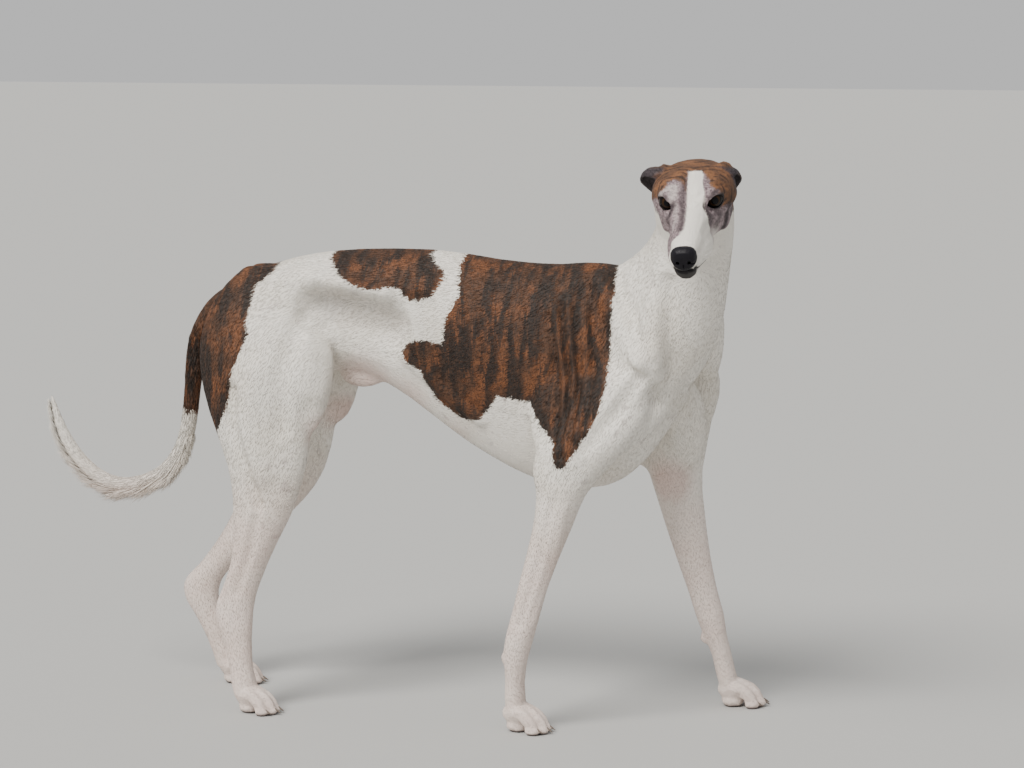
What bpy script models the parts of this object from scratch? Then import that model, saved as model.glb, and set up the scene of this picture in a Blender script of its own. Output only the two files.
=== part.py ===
"""A smooth-coated sighthound, a white and brindle greyhound, standing, life size.

Metres, +Z up. The body faces +X and its right side faces -Y. The dog stands on z = 0 with the
right foreleg drawn back, the left hind leg stretched back and the head turned to its right.
"""
import math
import random

import bmesh
import bpy
from mathutils import Euler, Matrix, Vector

# How finely the flesh is modelled and kept
VOXEL = 0.0024
SMOOTHING = 0.5
SMOOTHING_ROUNDS = 5
TRUNK_ROUNDS = 40
FLESH_TRIANGLES = 8500
HEAD_REACH = 0.165
PAW_TOP = 0.055
TAIL_START = -0.400
TAIL_REACH = 0.030
FINE_SHARE = 0.01
FINE_COST = 0.00002
GAP = 0.0003
RING_POINTS = 44
STEPS_BETWEEN = 4

# Trunk slices across the body: x, y of the middle, top, bottom, half width, height of the
# widest place as a share of the depth
TRUNK = [
    (-0.378, 0.000, 0.655, 0.600, 0.024, 0.50),
    (-0.364, 0.000, 0.680, 0.572, 0.044, 0.50),
    (-0.335, 0.000, 0.699, 0.555, 0.062, 0.55),
    (-0.300, 0.000, 0.716, 0.548, 0.072, 0.58),
    (-0.250, 0.000, 0.733, 0.546, 0.077, 0.62),
    (-0.200, 0.000, 0.744, 0.550, 0.075, 0.66),
    (-0.150, 0.000, 0.750, 0.552, 0.068, 0.66),
    (-0.100, 0.000, 0.753, 0.540, 0.064, 0.64),
    (-0.050, 0.000, 0.754, 0.513, 0.066, 0.62),
    (0.000, 0.000, 0.753, 0.478, 0.073, 0.60),
    (0.050, 0.000, 0.748, 0.444, 0.082, 0.58),
    (0.100, 0.000, 0.741, 0.416, 0.090, 0.57),
    (0.150, -0.002, 0.737, 0.394, 0.094, 0.56),
    (0.200, -0.004, 0.736, 0.380, 0.093, 0.55),
    (0.250, -0.006, 0.740, 0.378, 0.088, 0.55),
    (0.300, -0.008, 0.735, 0.392, 0.080, 0.54),
    (0.345, -0.010, 0.705, 0.430, 0.070, 0.52),
    (0.385, -0.012, 0.655, 0.485, 0.052, 0.50),
    (0.412, -0.014, 0.600, 0.530, 0.026, 0.50),
]
TRUNK_KEEL = 1.75

# Limb slices across the leg: height, front x, back x, y of the middle, half thickness
RIGHT_FORELEG = [
    (0.640, 0.330, 0.280, -0.048, 0.014),
    (0.600, 0.352, 0.264, -0.062, 0.026),
    (0.560, 0.364, 0.246, -0.075, 0.034),
    (0.510, 0.362, 0.222, -0.087, 0.039),
    (0.465, 0.336, 0.194, -0.098, 0.041),
    (0.425, 0.302, 0.183, -0.106, 0.037),
    (0.385, 0.270, 0.190, -0.109, 0.032),
    (0.340, 0.251, 0.186, -0.110, 0.028),
    (0.290, 0.230, 0.175, -0.110, 0.0245),
    (0.240, 0.211, 0.162, -0.110, 0.0215),
    (0.195, 0.198, 0.151, -0.109, 0.0200),
    (0.155, 0.187, 0.140, -0.108, 0.0210),
    (0.125, 0.178, 0.137, -0.107, 0.0195),
    (0.090, 0.171, 0.139, -0.104, 0.0175),
    (0.055, 0.170, 0.137, -0.100, 0.0190),
    (0.030, 0.172, 0.140, -0.098, 0.0200),
]
LEFT_FORELEG = [
    (0.640, 0.396, 0.330, 0.032, 0.014),
    (0.600, 0.418, 0.322, 0.047, 0.026),
    (0.560, 0.432, 0.314, 0.061, 0.034),
    (0.510, 0.436, 0.306, 0.073, 0.039),
    (0.465, 0.428, 0.306, 0.082, 0.040),
    (0.425, 0.420, 0.316, 0.088, 0.037),
    (0.385, 0.414, 0.328, 0.094, 0.033),
    (0.340, 0.416, 0.341, 0.100, 0.029),
    (0.290, 0.421, 0.356, 0.106, 0.0255),
    (0.240, 0.428, 0.372, 0.112, 0.0225),
    (0.195, 0.437, 0.387, 0.117, 0.0205),
    (0.155, 0.447, 0.399, 0.122, 0.0215),
    (0.125, 0.450, 0.410, 0.127, 0.0195),
    (0.090, 0.457, 0.424, 0.133, 0.0175),
    (0.055, 0.464, 0.431, 0.140, 0.0190),
    (0.030, 0.470, 0.437, 0.145, 0.0200),
]
RIGHT_HINDLEG = [
    (0.722, -0.255, -0.320, -0.020, 0.016),
    (0.690, -0.240, -0.350, -0.036, 0.030),
    (0.650, -0.200, -0.372, -0.052, 0.040),
    (0.600, -0.175, -0.382, -0.066, 0.045),
    (0.550, -0.168, -0.378, -0.074, 0.047),
    (0.500, -0.183, -0.365, -0.079, 0.045),
    (0.450, -0.190, -0.346, -0.084, 0.040),
    (0.405, -0.196, -0.330, -0.087, 0.035),
    (0.365, -0.207, -0.322, -0.089, 0.031),
    (0.325, -0.222, -0.320, -0.090, 0.028),
    (0.285, -0.243, -0.321, -0.090, 0.025),
    (0.245, -0.262, -0.326, -0.090, 0.0215),
    (0.205, -0.278, -0.340, -0.090, 0.0190),
    (0.175, -0.286, -0.352, -0.090, 0.0185),
    (0.145, -0.289, -0.352, -0.090, 0.0185),
    (0.110, -0.291, -0.339, -0.091, 0.0170),
    (0.075, -0.289, -0.329, -0.093, 0.0170),
    (0.045, -0.282, -0.324, -0.095, 0.0190),
    (0.028, -0.276, -0.320, -0.096, 0.0200),
]
LEFT_HINDLEG = [
    (0.722, -0.255, -0.320, 0.020, 0.016),
    (0.690, -0.240, -0.350, 0.036, 0.030),
    (0.650, -0.200, -0.374, 0.052, 0.040),
    (0.600, -0.178, -0.384, 0.066, 0.045),
    (0.550, -0.176, -0.388, 0.074, 0.047),
    (0.500, -0.192, -0.382, 0.079, 0.045),
    (0.450, -0.203, -0.374, 0.083, 0.040),
    (0.405, -0.213, -0.370, 0.085, 0.035),
    (0.365, -0.228, -0.368, 0.086, 0.031),
    (0.325, -0.256, -0.374, 0.086, 0.028),
    (0.285, -0.297, -0.392, 0.086, 0.025),
    (0.245, -0.342, -0.416, 0.085, 0.0215),
    (0.205, -0.384, -0.446, 0.084, 0.0190),
    (0.175, -0.408, -0.474, 0.083, 0.0185),
    (0.145, -0.414, -0.475, 0.083, 0.0185),
    (0.110, -0.406, -0.454, 0.083, 0.0170),
    (0.075, -0.395, -0.435, 0.083, 0.0170),
    (0.045, -0.382, -0.423, 0.083, 0.0190),
    (0.028, -0.374, -0.418, 0.083, 0.0200),
]

# Points of the shoulders and elbows, right side -1 and left side 1
SHOULDER_POINT = {-1: (0.352, -0.082, 0.572), 1: (0.424, 0.058, 0.560)}
ELBOW = {-1: (0.212, -0.108, 0.425), 1: (0.338, 0.092, 0.395)}

# Paws: middle on the ground, turn outwards in degrees, and the size of one paw
PAW_LENGTH = 0.086
PAW_WIDTH = 0.054
PAWS = {
    "forepaw_right": ((0.166, -0.098), -4.0, 1.00),
    "forepaw_left": ((0.466, 0.148), 14.0, 1.00),
    "hindpaw_right": ((-0.286, -0.097), -4.0, 0.95),
    "hindpaw_left": ((-0.380, 0.083), 6.0, 0.95),
}
TOES = ((-0.37, 0.24), (-0.13, 0.38), (0.13, 0.38), (0.37, 0.24))
CLAW_LENGTH = 0.017
CLAW_RADIUS = 0.0034
CLAW_DIP = 112.0

# Neck: middle of the slice, half width, half depth, and the way its left side looks in degrees
NECK = [
    ((0.300, -0.005, 0.590), 0.068, 0.112, 90.0),
    ((0.348, -0.012, 0.640), 0.068, 0.110, 80.0),
    ((0.389, -0.026, 0.694), 0.065, 0.096, 64.0),
    ((0.415, -0.045, 0.750), 0.062, 0.077, 46.0),
    ((0.430, -0.066, 0.800), 0.060, 0.063, 28.0),
    ((0.432, -0.090, 0.838), 0.061, 0.056, 12.0),
    ((0.437, -0.120, 0.862), 0.056, 0.046, 4.0),
]

# Head: where the tip of the nose is, the way it looks, and slices back from the nose:
# distance, top, bottom, half width, all from the middle of the nose
NOSE_TIP = (0.4655, -0.330, 0.7770)
HEAD_TURN = -83.5
HEAD_DIP = 25.0
HEAD_ROLL = 3.5
SKULL = [
    (0.006, 0.0140, -0.0135, 0.0160),
    (0.030, 0.0180, -0.0175, 0.0205),
    (0.060, 0.0220, -0.0210, 0.0245),
    (0.090, 0.0265, -0.0240, 0.0280),
    (0.115, 0.0320, -0.0265, 0.0335),
    (0.135, 0.0380, -0.0285, 0.0395),
    (0.155, 0.0425, -0.0300, 0.0490),
    (0.180, 0.0435, -0.0320, 0.0605),
    (0.205, 0.0420, -0.0320, 0.0625),
    (0.230, 0.0375, -0.0300, 0.0570),
    (0.250, 0.0310, -0.0250, 0.0450),
    (0.264, 0.0240, -0.0150, 0.0240),
]
JAW = [
    (0.006, 0.0020, -0.0350, 0.0125),
    (0.014, 0.0020, -0.0390, 0.0165),
    (0.030, 0.0020, -0.0410, 0.0205),
    (0.060, 0.0020, -0.0415, 0.0245),
    (0.090, 0.0020, -0.0425, 0.0275),
    (0.120, 0.0020, -0.0430, 0.0310),
    (0.150, 0.0020, -0.0500, 0.0430),
    (0.180, 0.0020, -0.0580, 0.0500),
    (0.205, 0.0020, -0.0620, 0.0490),
    (0.228, 0.0020, -0.0560, 0.0410),
    (0.245, 0.0020, -0.0430, 0.0260),
]
NOSE = [
    (-0.0055, 0.0075, -0.0095, 0.0075),
    (-0.0032, 0.0140, -0.0150, 0.0140),
    (0.0020, 0.0175, -0.0175, 0.0182),
    (0.0080, 0.0182, -0.0160, 0.0197),
    (0.0140, 0.0165, -0.0130, 0.0178),
]
EYE_RADIUS = 0.0140
EYE_SIDES = 16
EYE_BACK = 0.1500
EYE_SIDE = 0.0335
EYE_UP = 0.0170
EYE_OUTWARD = 16.0
LID_THICKNESS = 0.0016
LID_OPENING = (0.0148, 0.0108)

# The mouth line from under the nose back to its corner: back, out to the side, up
MOUTH_GROOVE = 0.0010
MOUTH = [
    (0.0040, 0.0000, -0.0185),
    (0.0060, 0.0100, -0.0200),
    (0.0250, 0.0260, -0.0260),
    (0.0500, 0.0330, -0.0330),
    (0.0800, 0.0380, -0.0390),
    (0.1050, 0.0420, -0.0400),
    (0.1200, 0.0440, -0.0370),
]
WELD = 0.0001
SCRAP_VERTICES = 16

# The gristly mounds that the ears grow from: the front and back end of each, its width and depth
EAR_BASES = ((0.2000, 0.0400, 0.0270), (0.2420, 0.0500, 0.0240))
EAR_BASE_WIDTH = 0.026
EAR_BASE_THICKNESS = 0.020

# Ear slices from root to tip: back, out to the side, up, width, half the arc it curls through
# and the way its back looks, in degrees
EAR_THICKNESS = 0.0028
EAR_ROWS = 9
EAR_COLUMNS = 7
EAR_SPREAD = {1: 0.95, -1: -0.10}
EAR_DROP = {1: 0.005, -1: 0.008}
EAR = [
    (0.2060, 0.0460, 0.0220, 0.030, 115, 140),
    (0.2180, 0.0550, 0.0190, 0.040, 105, 128),
    (0.2330, 0.0610, 0.0110, 0.046, 100, 112),
    (0.2500, 0.0650, -0.0030, 0.046, 92, 98),
    (0.2680, 0.0680, -0.0200, 0.036, 80, 88),
    (0.2840, 0.0690, -0.0400, 0.016, 70, 80),
]

# Tail slices: x, z of the middle and half width
TAIL = [
    (-0.330, 0.668, 0.030),
    (-0.365, 0.650, 0.027),
    (-0.393, 0.622, 0.022),
    (-0.411, 0.585, 0.018),
    (-0.420, 0.540, 0.0150),
    (-0.425, 0.490, 0.0145),
    (-0.430, 0.445, 0.0145),
    (-0.444, 0.405, 0.0150),
    (-0.470, 0.372, 0.0155),
    (-0.510, 0.350, 0.0155),
    (-0.556, 0.342, 0.0155),
    (-0.598, 0.358, 0.0150),
    (-0.632, 0.390, 0.0145),
    (-0.656, 0.428, 0.0120),
    (-0.668, 0.465, 0.0085),
    (-0.675, 0.494, 0.0030),
]

# Brush of long hair under the tail: how many locks, the stretch of the tail that carries them
# as shares of its length, and one lock's width, thickness, length and how far it stands off
BRUSH_LOCKS = 30
BRUSH_STRETCH = (0.42, 0.915)
LOCK_WIDTH = 0.0150
LOCK_THICKNESS = 0.0060
LOCK_LENGTH = 0.052
LOCK_STEPS = 4
LOCK_LIFT = 30.0
BRUSH_FAN = 52.0
BRUSH_SEED = 11

# Where the skin is parted: middle, tilt about x, y and z in degrees, and size of each cut
CUTS = [
    ((0.3625, -0.015, 0.684), (0, 40, -12), (0.250, 0.250)),
    ((-0.3787, 0.000, 0.645), (0, 100, 0), (0.170, 0.100)),
    ((-0.4215, 0.000, 0.530), (0, 6, 0), (0.060, 0.060)),
    ((-0.4600, 0.000, 0.383), (0, 42, 0), (0.120, 0.090)),
    ((-0.5600, 0.000, 0.338), (0, 90, 0), (0.120, 0.090)),
    ((0.238, -0.100, 0.409), (-32, 0, 0), (0.170, 0.130)),
    ((0.366, 0.092, 0.398), (32, 0, 0), (0.170, 0.130)),
    ((0.158, -0.106, 0.108), (0, 0, 0), (0.080, 0.080)),
    ((0.437, 0.130, 0.108), (0, 0, 0), (0.080, 0.080)),
    ((-0.265, -0.080, 0.515), (-34, 0, 0), (0.270, 0.140)),
    ((-0.278, 0.080, 0.515), (34, 0, 0), (0.280, 0.140)),
    ((-0.265, -0.089, 0.370), (0, 0, 0), (0.160, 0.090)),
    ((-0.298, 0.086, 0.370), (0, 0, 0), (0.180, 0.090)),
    ((-0.318, -0.090, 0.125), (0, 0, 0), (0.100, 0.070)),
    ((-0.440, 0.083, 0.125), (0, 0, 0), (0.100, 0.070)),
]
HEAD_CUT = ((0.236, 0.000, -0.014), (0, -58, 0), (0.200, 0.180))

# A place on each fleshy node
NODE_PLACES = {
    "torso": (0.000, 0.000, 0.753),
    "neck": (0.350, -0.020, 0.780),
    "head": (0.455, -0.140, 0.910),
    "tail_root": (-0.425, 0.000, 0.600),
    "tail_middle": (-0.440, 0.000, 0.450),
    "tail_bend": (-0.510, 0.000, 0.330),
    "tail_tip": (-0.650, 0.000, 0.430),
    "foreleg_right": (0.210, -0.130, 0.300),
    "foreleg_left": (0.390, 0.130, 0.290),
    "forepaw_right": (0.155, -0.120, 0.060),
    "forepaw_left": (0.440, 0.155, 0.060),
    "thigh_right": (-0.270, -0.130, 0.450),
    "thigh_left": (-0.290, 0.130, 0.450),
    "shank_right": (-0.290, -0.115, 0.250),
    "shank_left": (-0.380, 0.110, 0.250),
    "hindpaw_right": (-0.300, -0.110, 0.060),
    "hindpaw_left": (-0.410, 0.100, 0.060),
}

COLOURS = {
    "white_coat": ((0.78, 0.72, 0.68), 0.75),
    "brindle_coat": ((0.23, 0.10, 0.05), 0.70),
    "grey_coat": ((0.20, 0.17, 0.17), 0.70),
    "eye": ((0.035, 0.018, 0.010), 0.08),
    "nose": ((0.012, 0.011, 0.013), 0.35),
}


NODE_MATERIALS = {
    "nose": "nose",
    "eye_right": "eye",
    "eye_left": "eye",
    "ear_right": "grey_coat",
    "ear_left": "grey_coat",
    "torso": "brindle_coat",
    "tail_root": "brindle_coat",
}


def clear_scene():
    for item in list(bpy.data.objects):
        bpy.data.objects.remove(item, do_unlink=True)


def new_collection(name):
    collection = bpy.data.collections.new(name)
    bpy.context.scene.collection.children.link(collection)
    return collection


def make_material(name):
    colour, roughness = COLOURS[name]
    material = bpy.data.materials.new(name)
    material.use_nodes = True
    shader = material.node_tree.nodes["Principled BSDF"]
    shader.inputs["Base Color"].default_value = (*colour, 1.0)
    shader.inputs["Roughness"].default_value = roughness
    shader.inputs["Metallic"].default_value = 0.0
    material.diffuse_color = (*colour, 1.0)
    return material


def object_from(bm, name):
    bmesh.ops.recalc_face_normals(bm, faces=bm.faces)
    mesh = bpy.data.meshes.new(name)
    bm.to_mesh(mesh)
    bm.free()
    item = bpy.data.objects.new(name, mesh)
    bpy.context.scene.collection.objects.link(item)
    return item


def smooth_through(values, steps=STEPS_BETWEEN):
    """Rows between the given rows of numbers, on a smooth curve through them all."""
    rows = [[float(number) for number in row] for row in values]
    rows = [rows[0]] + rows + [rows[-1]]
    result = []
    for index in range(1, len(rows) - 2):
        before, start, end, after = rows[index - 1:index + 3]
        for step in range(steps):
            t = step / steps
            result.append([
                0.5 * (2 * b + (c - a) * t + (2 * a - 5 * b + 4 * c - d) * t ** 2
                       + (3 * b - a - 3 * c + d) * t ** 3)
                for a, b, c, d in zip(before, start, end, after)
            ])
    result.append(rows[-2])
    return result


def power(value, exponent):
    return math.copysign(abs(value) ** exponent, value)


def ring(middle, side, up, half_width, rise, drop, keel=2.0, crown=2.0, points=RING_POINTS):
    """One slice: an oval with its own rise and drop, and its squareness below and above."""
    places = []
    for index in range(points):
        angle = 2 * math.pi * index / points
        squareness = crown if math.sin(angle) > 0 else keel
        across = power(math.cos(angle), 2 / squareness) * half_width
        along = power(math.sin(angle), 2 / squareness) * (rise if math.sin(angle) > 0 else drop)
        places.append(middle + side * across + up * along)
    return places


def loft(rings, name="loft"):
    """One closed skin through rings of equal count, with a flat cap at each end."""
    bm = bmesh.new()
    rows = [[bm.verts.new(point) for point in points] for points in rings]
    for row, following in zip(rows, rows[1:]):
        for index, vertex in enumerate(row):
            after = (index + 1) % len(row)
            bm.faces.new((vertex, row[after], following[after], following[index]))
    bm.faces.new(rows[0])
    bm.faces.new(rows[-1])
    return object_from(bm, name)


def ellipsoid(middle, radii, frame=None, sides=20):
    bm = bmesh.new()
    bmesh.ops.create_uvsphere(bm, u_segments=sides, v_segments=sides * 3 // 5, radius=1.0)
    placing = frame.copy() if frame else Matrix.Identity(4)
    placing.translation = Vector(middle)
    bmesh.ops.transform(bm, matrix=placing @ Matrix.Diagonal((*radii, 1.0)), verts=bm.verts)
    return object_from(bm, "ellipsoid")


def muscle(start, end, width, thickness, facing=(0.0, 1.0, 0.0), sides=20):
    """A spindle from start to end, width across it and thickness along the facing direction."""
    start, end = Vector(start), Vector(end)
    along = (end - start).normalized()
    across = along.cross(Vector(facing)).normalized()
    outward = across.cross(along)
    frame = Matrix((along, across, outward)).transposed().to_4x4()
    radii = ((end - start).length / 2, width / 2, thickness / 2)
    return ellipsoid((start + end) / 2, radii, frame, sides)


def trunk():
    rings = []
    for x, y, top, bottom, half_width, widest in smooth_through(TRUNK):
        height = bottom + (top - bottom) * widest
        middle = Vector((x, y, height))
        rings.append(ring(middle, Vector((0, 1, 0)), Vector((0, 0, 1)), half_width,
                          top - height, height - bottom, keel=TRUNK_KEEL))
    return loft(rings, "trunk")


def limb(slices, name):
    rings = []
    for height, front, back, y, half_thickness in smooth_through(slices):
        middle = Vector(((front + back) / 2, y, height))
        reach = (front - back) / 2
        rings.append(ring(middle, Vector((1, 0, 0)), Vector((0, 1, 0)), reach,
                          half_thickness, half_thickness))
    return loft(rings, name)


def neck():
    rows = smooth_through([(*middle, width, depth, turn) for middle, width, depth, turn in NECK])
    rings = []
    for index, (x, y, z, width, depth, turn) in enumerate(rows):
        before = Vector(rows[max(index - 1, 0)][:3])
        after = Vector(rows[min(index + 1, len(rows) - 1)][:3])
        along = (after - before).normalized()
        side = Vector((math.cos(math.radians(turn)), math.sin(math.radians(turn)), 0))
        side = (side - along * side.dot(along)).normalized()
        rings.append(ring(Vector((x, y, z)), side, along.cross(side), width, depth, depth))
    return loft(rings, "neck")


def head_frame():
    """Axes of the head: x runs back from the nose, y to the dog's right, z up."""
    turn = Matrix.Rotation(math.radians(HEAD_TURN), 4, "Z")
    dip = Matrix.Rotation(math.radians(HEAD_DIP), 4, "Y")
    roll = Matrix.Rotation(math.radians(HEAD_ROLL), 4, "X")
    facing_back = Matrix.Rotation(math.pi, 4, "Z")
    return Matrix.Translation(NOSE_TIP) @ turn @ dip @ roll @ facing_back


def head_point(back, side, up):
    return head_frame() @ Vector((back, side, up))


def head_direction(back, side, up):
    return (head_frame().to_3x3() @ Vector((back, side, up))).normalized()


def head_loft(slices, name, keel, crown):
    rings = []
    for back, top, bottom, half_width in smooth_through(slices):
        height = (top + bottom) / 2
        rings.append(ring(head_point(back, 0, height), head_direction(0, 1, 0),
                          head_direction(0, 0, 1), half_width, top - height, height - bottom,
                          keel=keel, crown=crown))
    return loft(rings, name)


def head_muscle(start, end, width, thickness, facing, sides=20):
    return muscle(head_point(*start), head_point(*end), width, thickness,
                  head_direction(*facing), sides)


def head_pieces():
    pieces = [head_loft(SKULL, "skull", 2.6, 2.3), head_loft(JAW, "jaw", 2.4, 4.0)]
    for side in (1, -1):
        start, end = ((back, side * across, up) for back, across, up in EAR_BASES)
        pieces.append(head_muscle(start, end, EAR_BASE_WIDTH, EAR_BASE_THICKNESS, (0, side, 1)))
        for start, end, width, thickness, outward in (
            # upper lip, brow, cheek bone, chewing muscle, temple
            ((0.012, side * 0.0155, -0.0130), (0.122, side * 0.0300, -0.0310), 0.032, 0.017,
             (0, side, 0)),
            ((0.126, side * 0.031, 0.0275), (0.186, side * 0.044, 0.0345), 0.020, 0.010,
             (0, side, 1)),
            ((0.136, side * 0.039, 0.0040), (0.222, side * 0.059, 0.0080), 0.020, 0.010,
             (0, side, 0)),
            ((0.158, side * 0.042, -0.0400), (0.230, side * 0.051, 0.0020), 0.052, 0.020,
             (0, side, 0)),
            ((0.160, side * 0.032, 0.0260), (0.245, side * 0.033, 0.0180), 0.044, 0.026,
             (0, side, 1)),
        ):
            pieces.append(head_muscle(start, end, width, thickness, outward))
    return pieces


def tail():
    rings = []
    rows = smooth_through(TAIL)
    for index, (x, z, half_width) in enumerate(rows):
        before = rows[max(index - 1, 0)]
        after = rows[min(index + 1, len(rows) - 1)]
        along = Vector((after[0] - before[0], 0, after[1] - before[1])).normalized()
        up = along.cross(Vector((0, 1, 0)))
        rings.append(ring(Vector((x, 0, z)), Vector((0, 1, 0)), up, half_width, half_width,
                          half_width))
    return loft(rings, "tail")


def tail_place(share):
    """Middle, direction towards the tip, underside and half width at a share of the tail."""
    rows = smooth_through(TAIL)
    spot = share * (len(rows) - 1)
    low = min(int(spot), len(rows) - 2)
    x, z, half_width = (a + (b - a) * (spot - low) for a, b in zip(rows[low], rows[low + 1]))
    along = Vector((rows[low + 1][0] - rows[low][0], 0, rows[low + 1][1] - rows[low][1]))
    along.normalize()
    return Vector((x, 0, z)), along, along.cross(Vector((0, 1, 0))), half_width


def brush_lock(share, fan, length):
    """A flat, tapered lock that leaves the underside of the tail and bends towards its tip."""
    middle, along, below, half_width = tail_place(share)
    outward = Matrix.Rotation(math.radians(fan), 3, along) @ below
    across = along.cross(outward)
    rings = []
    for step in range(LOCK_STEPS):
        reach = step / LOCK_STEPS
        lift = math.radians(LOCK_LIFT) * (1 - 0.7 * reach)
        point = middle + outward * half_width * 0.45
        point += (along * math.cos(lift) + outward * math.sin(lift)) * length * reach
        taper = math.sqrt(1 - reach)
        rings.append(ring(point, across, outward, LOCK_WIDTH / 2 * taper,
                          LOCK_THICKNESS / 2 * taper, LOCK_THICKNESS / 2 * taper, points=4))
    return loft(rings, "lock")


def brush():
    """The locks in rows that overlap like tiles, longest in the middle of the tail."""
    chance = random.Random(BRUSH_SEED)
    start, end = BRUSH_STRETCH
    locks = []
    for index in range(BRUSH_LOCKS):
        progress = (index + 0.5) / BRUSH_LOCKS
        fan = BRUSH_FAN * ((index % 3) - 1) * chance.uniform(0.7, 1.0)
        length = LOCK_LENGTH * (0.45 + 0.55 * math.sin(math.pi * progress))
        locks.append(brush_lock(start + (end - start) * progress, fan,
                                length * chance.uniform(0.85, 1.15)))
    return locks


def body_muscles():
    """The muscles that show through the skin of the shoulders, loin and thighs."""
    pieces = [ellipsoid((-0.128, 0.0, 0.545), (0.040, 0.013, 0.020))]
    for side in (-1, 1):
        point, elbow = SHOULDER_POINT[side], ELBOW[side]
        outward = (0, side, 0.35)
        for start, end, width, thickness in (
            # shoulder blade, back of the upper arm, upper arm, breast, side of the neck
            ((0.262, side * 0.034, 0.705), point, 0.110, 0.050),
            ((0.246, side * 0.068, 0.625), (elbow[0] + 0.006, elbow[1], elbow[2]), 0.115, 0.044),
            ((point[0] + 0.010, point[1], point[2] + 0.020), elbow, 0.090, 0.060),
            ((0.400, -0.012 + side * 0.018, 0.562),
             (elbow[0] + 0.055, elbow[1] - side * 0.016, elbow[2] + 0.010), 0.070, 0.054),
            ((0.412 + side * 0.018, -0.046 + side * 0.030, 0.740),
             (point[0], point[1], point[2] - 0.020), 0.070, 0.052),
            # croup, front of the thigh, long muscle beside the spine, back of the thigh
            ((-0.235, side * 0.046, 0.700), (-0.330, side * 0.080, 0.540), 0.130, 0.056),
            ((-0.185, side * 0.055, 0.640), (-0.205, side * 0.084, 0.450), 0.080, 0.050),
            ((0.120, side * 0.030, 0.718), (-0.260, side * 0.032, 0.716), 0.060, 0.046),
            ((-0.366, side * 0.036, 0.635), (-0.345, side * 0.070, 0.470), 0.056, 0.050),
        ):
            pieces.append(muscle(start, end, width, thickness, outward))
    return pieces


def paw_frame(name):
    (x, y), turn, _ = PAWS[name]
    return Matrix.Translation((x, y, 0)) @ Matrix.Rotation(math.radians(turn), 4, "Z")


def paw_pieces(name):
    """The pads, the four toes and their knuckles."""
    size = PAWS[name][2]
    frame = paw_frame(name)
    length, width = PAW_LENGTH * size, PAW_WIDTH * size

    def place(along, across, up):
        return frame @ Vector((along * length, across * width, up * size))

    pieces = [ellipsoid(place(-0.10, 0, 0.010), (0.22 * length, 0.33 * width, 0.013 * size), frame),
              ellipsoid(place(-0.06, 0, 0.029), (0.34 * length, 0.40 * width, 0.019 * size), frame)]
    for spread, reach in TOES:
        root = place(reach - 0.50, spread * 0.7, 0.034)
        knuckle = place(reach - 0.20, spread * 0.95, 0.033)
        tip = place(reach + 0.04, spread, 0.012)
        pieces.append(muscle(root, knuckle + (knuckle - root) * 0.25, 0.0165 * size, 0.022 * size,
                             (0, 0, 1)))
        pieces.append(muscle(knuckle - (tip - knuckle) * 0.35, tip + (tip - knuckle) * 0.20,
                             0.0150 * size, 0.021 * size, (0, 0, 1)))
        pieces.append(ellipsoid(place(reach + 0.01, spread, 0.007),
                                (0.0125 * size, 0.0078 * size, 0.0095 * size), frame))
    return pieces


def claws(name):
    """Four blunt claws that curve down from the tips of the toes."""
    size = PAWS[name][2]
    pieces = []
    for spread, reach in TOES:
        bm = bmesh.new()
        bmesh.ops.create_cone(bm, cap_ends=True, segments=8, radius1=CLAW_RADIUS,
                              radius2=CLAW_RADIUS * 0.25, depth=CLAW_LENGTH)
        place = Matrix.Translation(((reach + 0.11) * PAW_LENGTH * size,
                                    spread * PAW_WIDTH * size, 0.0098))
        placing = paw_frame(name) @ place @ Matrix.Rotation(math.radians(CLAW_DIP), 4, "Y")
        bmesh.ops.transform(bm, matrix=placing, verts=bm.verts)
        pieces.append(object_from(bm, "claw"))
    return pieces


def carpal_pads():
    return [ellipsoid((0.1405, -0.107, 0.120), (0.0085, 0.0090, 0.0120)),
            ellipsoid((0.4145, 0.125, 0.118), (0.0085, 0.0090, 0.0120))]


def evaluated_mesh(item):
    graph = bpy.context.evaluated_depsgraph_get()
    return bpy.data.meshes.new_from_object(item.evaluated_get(graph))


def bake_modifiers(item):
    """Replaces an object's mesh by what its modifiers make of it."""
    bpy.context.view_layer.update()
    mesh = evaluated_mesh(item)
    item.modifiers.clear()
    item.data = mesh
    return item


def join(pieces, name):
    bm = bmesh.new()
    for piece in pieces:
        piece_mesh = piece.data
        bm.from_mesh(piece_mesh)
        bpy.data.objects.remove(piece, do_unlink=True)
    mesh = bpy.data.meshes.new(name)
    bm.to_mesh(mesh)
    bm.free()
    item = bpy.data.objects.new(name, mesh)
    bpy.context.scene.collection.objects.link(item)
    return item


def trunk_weight(point):
    """1 where broad muscles melt into one another, fading to 0 at the head, tail and shins."""
    above_shins = min(max((point.z - 0.30) / 0.10, 0), 1)
    off_head = min(max(((point - head_point(0.12, 0, 0)).length - 0.14) / 0.04, 0), 1)
    off_tail = min(max((point.x + 0.395) / 0.02, 0), 1)
    return min(above_shins, off_head, off_tail)


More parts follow.
